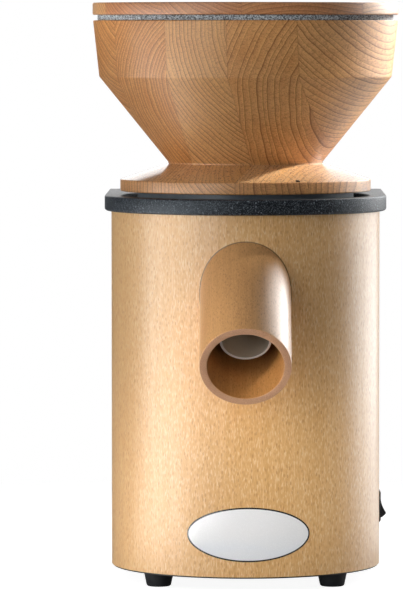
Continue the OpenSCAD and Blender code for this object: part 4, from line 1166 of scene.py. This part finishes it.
@dataclass
class Housing:
    """Bent shell with its back, base, feet and badge."""

    foot_x: float = 60.0
    foot_front: float = 52.004
    foot_rear: float = 95.0
    foot_top_r: float = 10.3
    foot_low_r: float = 8.5
    foot_h: float = 9.6
    bolt_r: float = 2.55
    head_r: float = 5.05
    head_top: float = 6.0
    badge_face: float = BODY_R + 0.4  # radius between its back and its face
    panel_face: float = 118.0

    def feet(self) -> Piece:
        """Rubber feet with rounded treads and a well for the bolt's head."""
        feet = Solid()
        for x in (-self.foot_x, self.foot_x):
            for y in (-self.foot_front, self.foot_rear):
                foot = Solid().turn(
                    (self.head_r, 0.0, 0.3), (self.foot_low_r - 0.2, 0.0, 1.3),
                    (self.foot_top_r, self.foot_h, 0.5), (self.bolt_r, self.foot_h),
                    (self.bolt_r, self.head_top), (self.head_r, self.head_top), steps=64)
                feet.take(foot.move(Matrix.Translation((x, y, 0))).mesh)
        return feet.piece("rubber_feet", Body.HOUSING, Slot.FOOT, "feet", Finishes.RUBBER)

    def badge(self) -> Piece:
        """Bare oval plate, bent round the shell, with a rounded edge."""
        plate = eased("badge_plate", 0.18, 3, 50, lambda p: p.xy.length > self.badge_face)
        return plate.piece("enamelled_badge", Body.HOUSING, Slot.BADGE, "badge_plate",
                           Finishes.BADGE)

    def panel(self) -> Piece:
        """Back panel with eased edges round its slots."""
        panel = eased("back_panel", 0.4, 2, 60, lambda p: p.y > self.panel_face)
        return panel.piece("slotted_panel", Body.HOUSING, Slot.PANEL, "back_panel",
                           Finishes.PANEL, crease=12.0)

    def build(self) -> None:
        """Make or dress every piece of the housing."""
        self.feet()
        self.badge()
        self.panel()
        dress(Finishes.SHELL, "housing_shell")
        dress(Finishes.BATTEN, "back_battens")
        dress(Finishes.BASE, "base_plate")
        dress(Finishes.STEEL, "back_screws", "tie_bolts")
        dress(Finishes.BRASS, "plate_inserts")


@dataclass
class Switch:
    """Rocker switch on the right side wall."""

    ease: float = 0.35
    bezel_x: float = 94.2  # from here on, the bezel is outside the wall
    rocker_x: float = 93.0

    def build(self) -> None:
        """Make the frame and the rocker with eased edges."""
        bezel = eased("switch_frame", self.ease, 3, 40, lambda p: p.x > self.bezel_x)
        bezel.piece("switch_bezel", Body.HOUSING, Slot.SWITCH, "switch_frame", Finishes.SWITCH)
        rocker = eased("switch_rocker", self.ease, 3, 30, lambda p: p.x > self.rocker_x)
        rocker.piece("switch_key", Body.ROCKER, Slot.SWITCH, "switch_rocker", Finishes.SWITCH)
        dress(Finishes.BLADE, "switch_blades")


class Works:
    """Everything inside the housing, which keeps its CAD shape."""

    def build(self) -> None:
        """Dress every node inside."""
        dress(Finishes.CAST, "milling_chamber", "motor_upper_bell", "motor_lower_bell",
              "stone_carrier", "stone_holder", "rotor_rings")
        dress(Finishes.STEEL, "chamber_screws", "motor_screws", "through_bolts", "fan_clip",
              "capacitor_screws", "stone_bolt", "drive_key", "adjust_springs")
        dress(Finishes.BEARING, "motor_shaft", "bearing_outer_rings", "bearing_inner_rings",
              "bearing_balls")
        dress(Finishes.BRASS, "bearing_cages", "terminal_screws")
        dress(Finishes.STONE, "lower_stone", "upper_stone")
        dress(Finishes.CORE, "stator_core", "rotor_core")
        dress(Finishes.COPPER, "stator_windings")
        dress(Finishes.BASE, "cooling_fan", "fan_shroud", "capacitor_clip", "cable_gland",
              "gland_nut")
        dress(Finishes.RUBBER, "chamber_gasket")
        dress(Finishes.WHITE, "run_capacitor", "terminal_block", "shaft_seal")
        dress(Finishes.LEAD, "motor_leads", "switch_leads", "capacitor_leads")


# ---- Studio ----


@dataclass
class Lamp:
    """One soft box, aimed at a height on the mill's axis."""

    name: str
    azimuth: float
    elevation: float
    distance: float
    width: float
    height: float
    brightness: float  # of its face, where 1 is white
    aim_z: float = 0.22
    aim_front: float = 0.0  # of the axis
    aim_side: float = 0.0  # of the axis, to the right
    lights: bool = True
    mirrors: bool = True

    def place(self, data: bpy.types.Light) -> None:
        """Put the lamp into its place, facing the mill."""
        made = added(self.name, data)
        a, e = math.radians(self.azimuth), math.radians(self.elevation)
        toward = Vector((math.sin(a) * math.cos(e), -math.cos(a) * math.cos(e), math.sin(e)))
        aim = Vector((self.aim_side, AXIS_Y - self.aim_front, self.aim_z))
        made.location = aim + toward * self.distance
        made.rotation_euler = toward.to_track_quat("Z", "Y").to_euler()
        made.visible_diffuse = self.lights
        made.visible_glossy = self.mirrors

    def build(self) -> None:
        """Make the lamp."""
        data = bpy.data.lights.new(self.name, "AREA")
        data.shape = "RECTANGLE"
        data.size, data.size_y = self.width, self.height
        data.energy = self.brightness * math.pi * self.width * self.height
        self.place(data)


@dataclass
class Pool(Lamp):
    """Spot with a soft edge, which gives a pool of light that nothing mirrors."""

    mirrors: bool = False
    reach: float = 0.16  # radius of the pool on the mill

    def build(self) -> None:
        """Make the spot."""
        data = bpy.data.lights.new(self.name, "SPOT")
        data.spot_size = 2 * math.atan(self.reach / self.distance)
        data.spot_blend = 1.0
        data.shadow_soft_size = self.width / 2
        data.energy = self.brightness
        self.place(data)


@dataclass
class Studio:
    """Floor, soft boxes, pale surroundings and the camera."""

    eye: Place = (0.0, -3.255, 0.3876)
    pitch: float = -3.317
    lens: float = 284.2
    sensor: float = 36.0
    shift: float = -0.0747
    farthest: float = 50.0
    ambient: float = 0.245
    room: float = 0.05
    wall_sheen: float = 1.8
    floor_r: float = 6.0
    floor_paints: tuple[Colour, Colour] = ((172, 172, 172), (178, 178, 178))
    floor_glow: float = 0.92
    floor_sheen: float = 5.4
    left_way: Place = (-0.94, -0.342, 0.0)  # that the sheen lies in
    right_way: Place = (0.829, 0.559, 0.0)
    right_share: float = 0.2
    sheen_from: float = 160.0  # millimetres from the axis
    sheen_to: float = 330.0
    clear_from: float = 300.0
    clear_to: float = 700.0
    lamps: tuple[Lamp, ...] = (
        Lamp("left_box", -90.0, 2.0, 1.0, 0.8, 0.6, 2.2, 0.13, mirrors=False),
        Lamp("left_sheen", -70.0, 0.0, 1.0, 0.7, 0.5, 2.5, 0.0, lights=False),
        Lamp("left_fill", -35.0, 6.0, 1.05, 0.54, 0.7, 2.55),
        Lamp("right_strip", 124.0, 0.0, 1.3, 1.2, 0.4, 3.0, 0.0),
        Lamp("right_high_sheen", 122.0, 0.0, 1.3, 1.3, 0.3, 4.6, 0.51, lights=False),
        Lamp("rear_right_box", 126.0, 8.0, 1.3, 0.8, 0.6, 5.0, 0.04, mirrors=False),
        Lamp("rear_right_sheen", 131.0, 28.0, 1.3, 0.7, 0.95, 9.5, lights=False),
        Pool("hopper_pool", 127.0, 22.0, 1.0, 0.12, 0.12, 38.0, 0.376, reach=0.1),
        Pool("disc_pool", 128.0, 22.0, 1.0, 0.06, 0.06, 84.0, 0.303, 0.05, reach=0.048),
        Pool("cone_pool", 109.0, 37.5, 1.0, 0.08, 0.08, 98.0, 0.304, 0.05, 0.024, reach=0.056),
        Pool("rim_pool", 28.0, 10.0, 1.0, 0.1, 0.1, 20.0, 0.41, 0.1, reach=0.045),
        Pool("bowl_pool", 42.0, -8.0, 0.9, 0.06, 0.06, 10.0, 0.343, 0.06, 0.046, reach=0.034),
        Pool("left_rim_pool", -86.0, 3.0, 0.9, 0.06, 0.06, 16.0, 0.4, 0.04, reach=0.055),
        Pool("low_left_pool", -62.0, 1.0, 0.9, 0.2, 0.2, 16.0, 0.01, reach=0.14),
        Pool("low_front_pool", 20.0, 1.0, 0.9, 0.1, 0.1, 10.0, 0.075, reach=0.12),
        Pool("mouth_pool", -60.0, -6.0, 0.8, 0.14, 0.14, 50.0, 0.155, 0.14, reach=0.05),
    )

    def camera(self) -> None:
        """Place the camera."""
        data = bpy.data.cameras.new("camera")
        data.lens = self.lens
        data.sensor_width = self.sensor
        data.sensor_fit = "AUTO"
        data.shift_x = self.shift
        data.clip_end = self.farthest
        made = added("camera", data)
        made.location = (self.eye[0], AXIS_Y + self.eye[1], self.eye[2])
        made.rotation_euler = (math.radians(90 + self.pitch), 0.0, 0.0)
        bpy.context.scene.camera = made

    def surroundings(self) -> None:
        """White for the camera, a dark room with one pale wall for reflections, dim as a light."""
        world = bpy.data.worlds.new("surroundings")
        world.use_nodes = True
        bpy.context.scene.world = world
        w = Wiring(world.node_tree)
        ray = w.outputs(w.node("ShaderNodeLightPath"))
        side, back, up = w.split(w.give("ShaderNodeTexCoord", output="Generated"))
        wall = (w.span(back + w.span(side, -0.01, 0.04, 0.0, 0.06), 0.89, 0.935)
                * w.span(up, 0.02, 0.05) * w.span(side, 0.04, -0.01, 0.9, 1.0))
        mirrored = w.most(ray["Is Glossy Ray"], ray["Is Transmission Ray"])
        level = (mirrored * w.most(self.room, wall * self.wall_sheen)
                 + (1.0 - mirrored) * self.ambient)
        w.feed(world.node_tree.nodes["Background"], {
            "Color": (1.0, 1.0, 1.0, 1.0), "Strength": w.most(ray["Is Camera Ray"], level)})

    @staticmethod
    def bearing(w: Wiring, way: Place) -> Wire:
        """Give a mask of the floor that lies one way from the mill.

        Args:
            w: Wiring of the floor's material.
            way: Direction from the axis.

        Returns:
            The mask, 1 inside a narrow fan.
        """
        return w.span(w.vector("DOT_PRODUCT", w.vector("NORMALIZE", w.place()), way), 0.88, 0.95)

    def floor(self) -> None:
        """Pale floor that keeps the mill's shadow, and glows in two fans that only reflections see:
        painted light for the mill's sheen.
        """
        work = bmesh.new()
        bmesh.ops.create_circle(work, cap_ends=True, segments=96, radius=self.floor_r)
        data = bpy.data.meshes.new("floor")
        work.to_mesh(data)
        work.free()
        made = added("floor", data)
        material = bpy.data.materials.new("pale_floor")
        material.use_nodes = True
        nodes = material.node_tree.nodes
        w = Wiring(material.node_tree)
        grain = w.noise(w.stretch(w.place(), 60))
        w.feed(nodes["Principled BSDF"], {"Base Color": w.mix(grain, *self.floor_paints),
                                          "Roughness": 0.9, "Specular IOR Level": 0.1})
        ray = w.outputs(w.node("ShaderNodeLightPath"))
        seen = w.most(ray["Is Camera Ray"], ray["Is Transmission Ray"])
        toward = w.most(self.bearing(w, self.left_way),
                        self.bearing(w, self.right_way) * self.right_share)
        off = w.vector("LENGTH", w.place())
        # painted light: the floor glows here for reflections alone
        card = (ray["Is Glossy Ray"] * self.floor_sheen
                * (toward * w.span(off, self.sheen_from, self.sheen_to)))
        near = Wire(w, nodes["Principled BSDF"].outputs[0])
        for strength in (card, seen * self.floor_glow):
            light = w.give("ShaderNodeEmission", {"Strength": strength})
            near = w.give("ShaderNodeAddShader", {0: near, 1: light})
        white = w.give("ShaderNodeEmission", {"Strength": 1.0})
        away = w.span(off, self.clear_from, self.clear_to)
        both = w.give("ShaderNodeMixShader", {0: away * seen, 1: near, 2: white})
        w.feed(nodes["Material Output"], {"Surface": both})
        data.materials.append(material)

    def build(self) -> None:
        """Set the whole studio up."""
        self.camera()
        for lamp in self.lamps:
            lamp.build()
        self.surroundings()
        self.floor()
        bpy.context.scene.view_settings.view_transform = "Standard"


def main() -> None:
    """Build the studio and every sub-assembly, in order."""
    logging.basicConfig(level=logging.INFO, format="%(message)s")
    Studio().build()
    for part in (Housing(), TopPlate(), Spout(), Hopper(), Lid(), Switch(), Works()):
        log.info("-- %s", type(part).__name__)
        part.build()


if __name__ == "__main__":
    main()
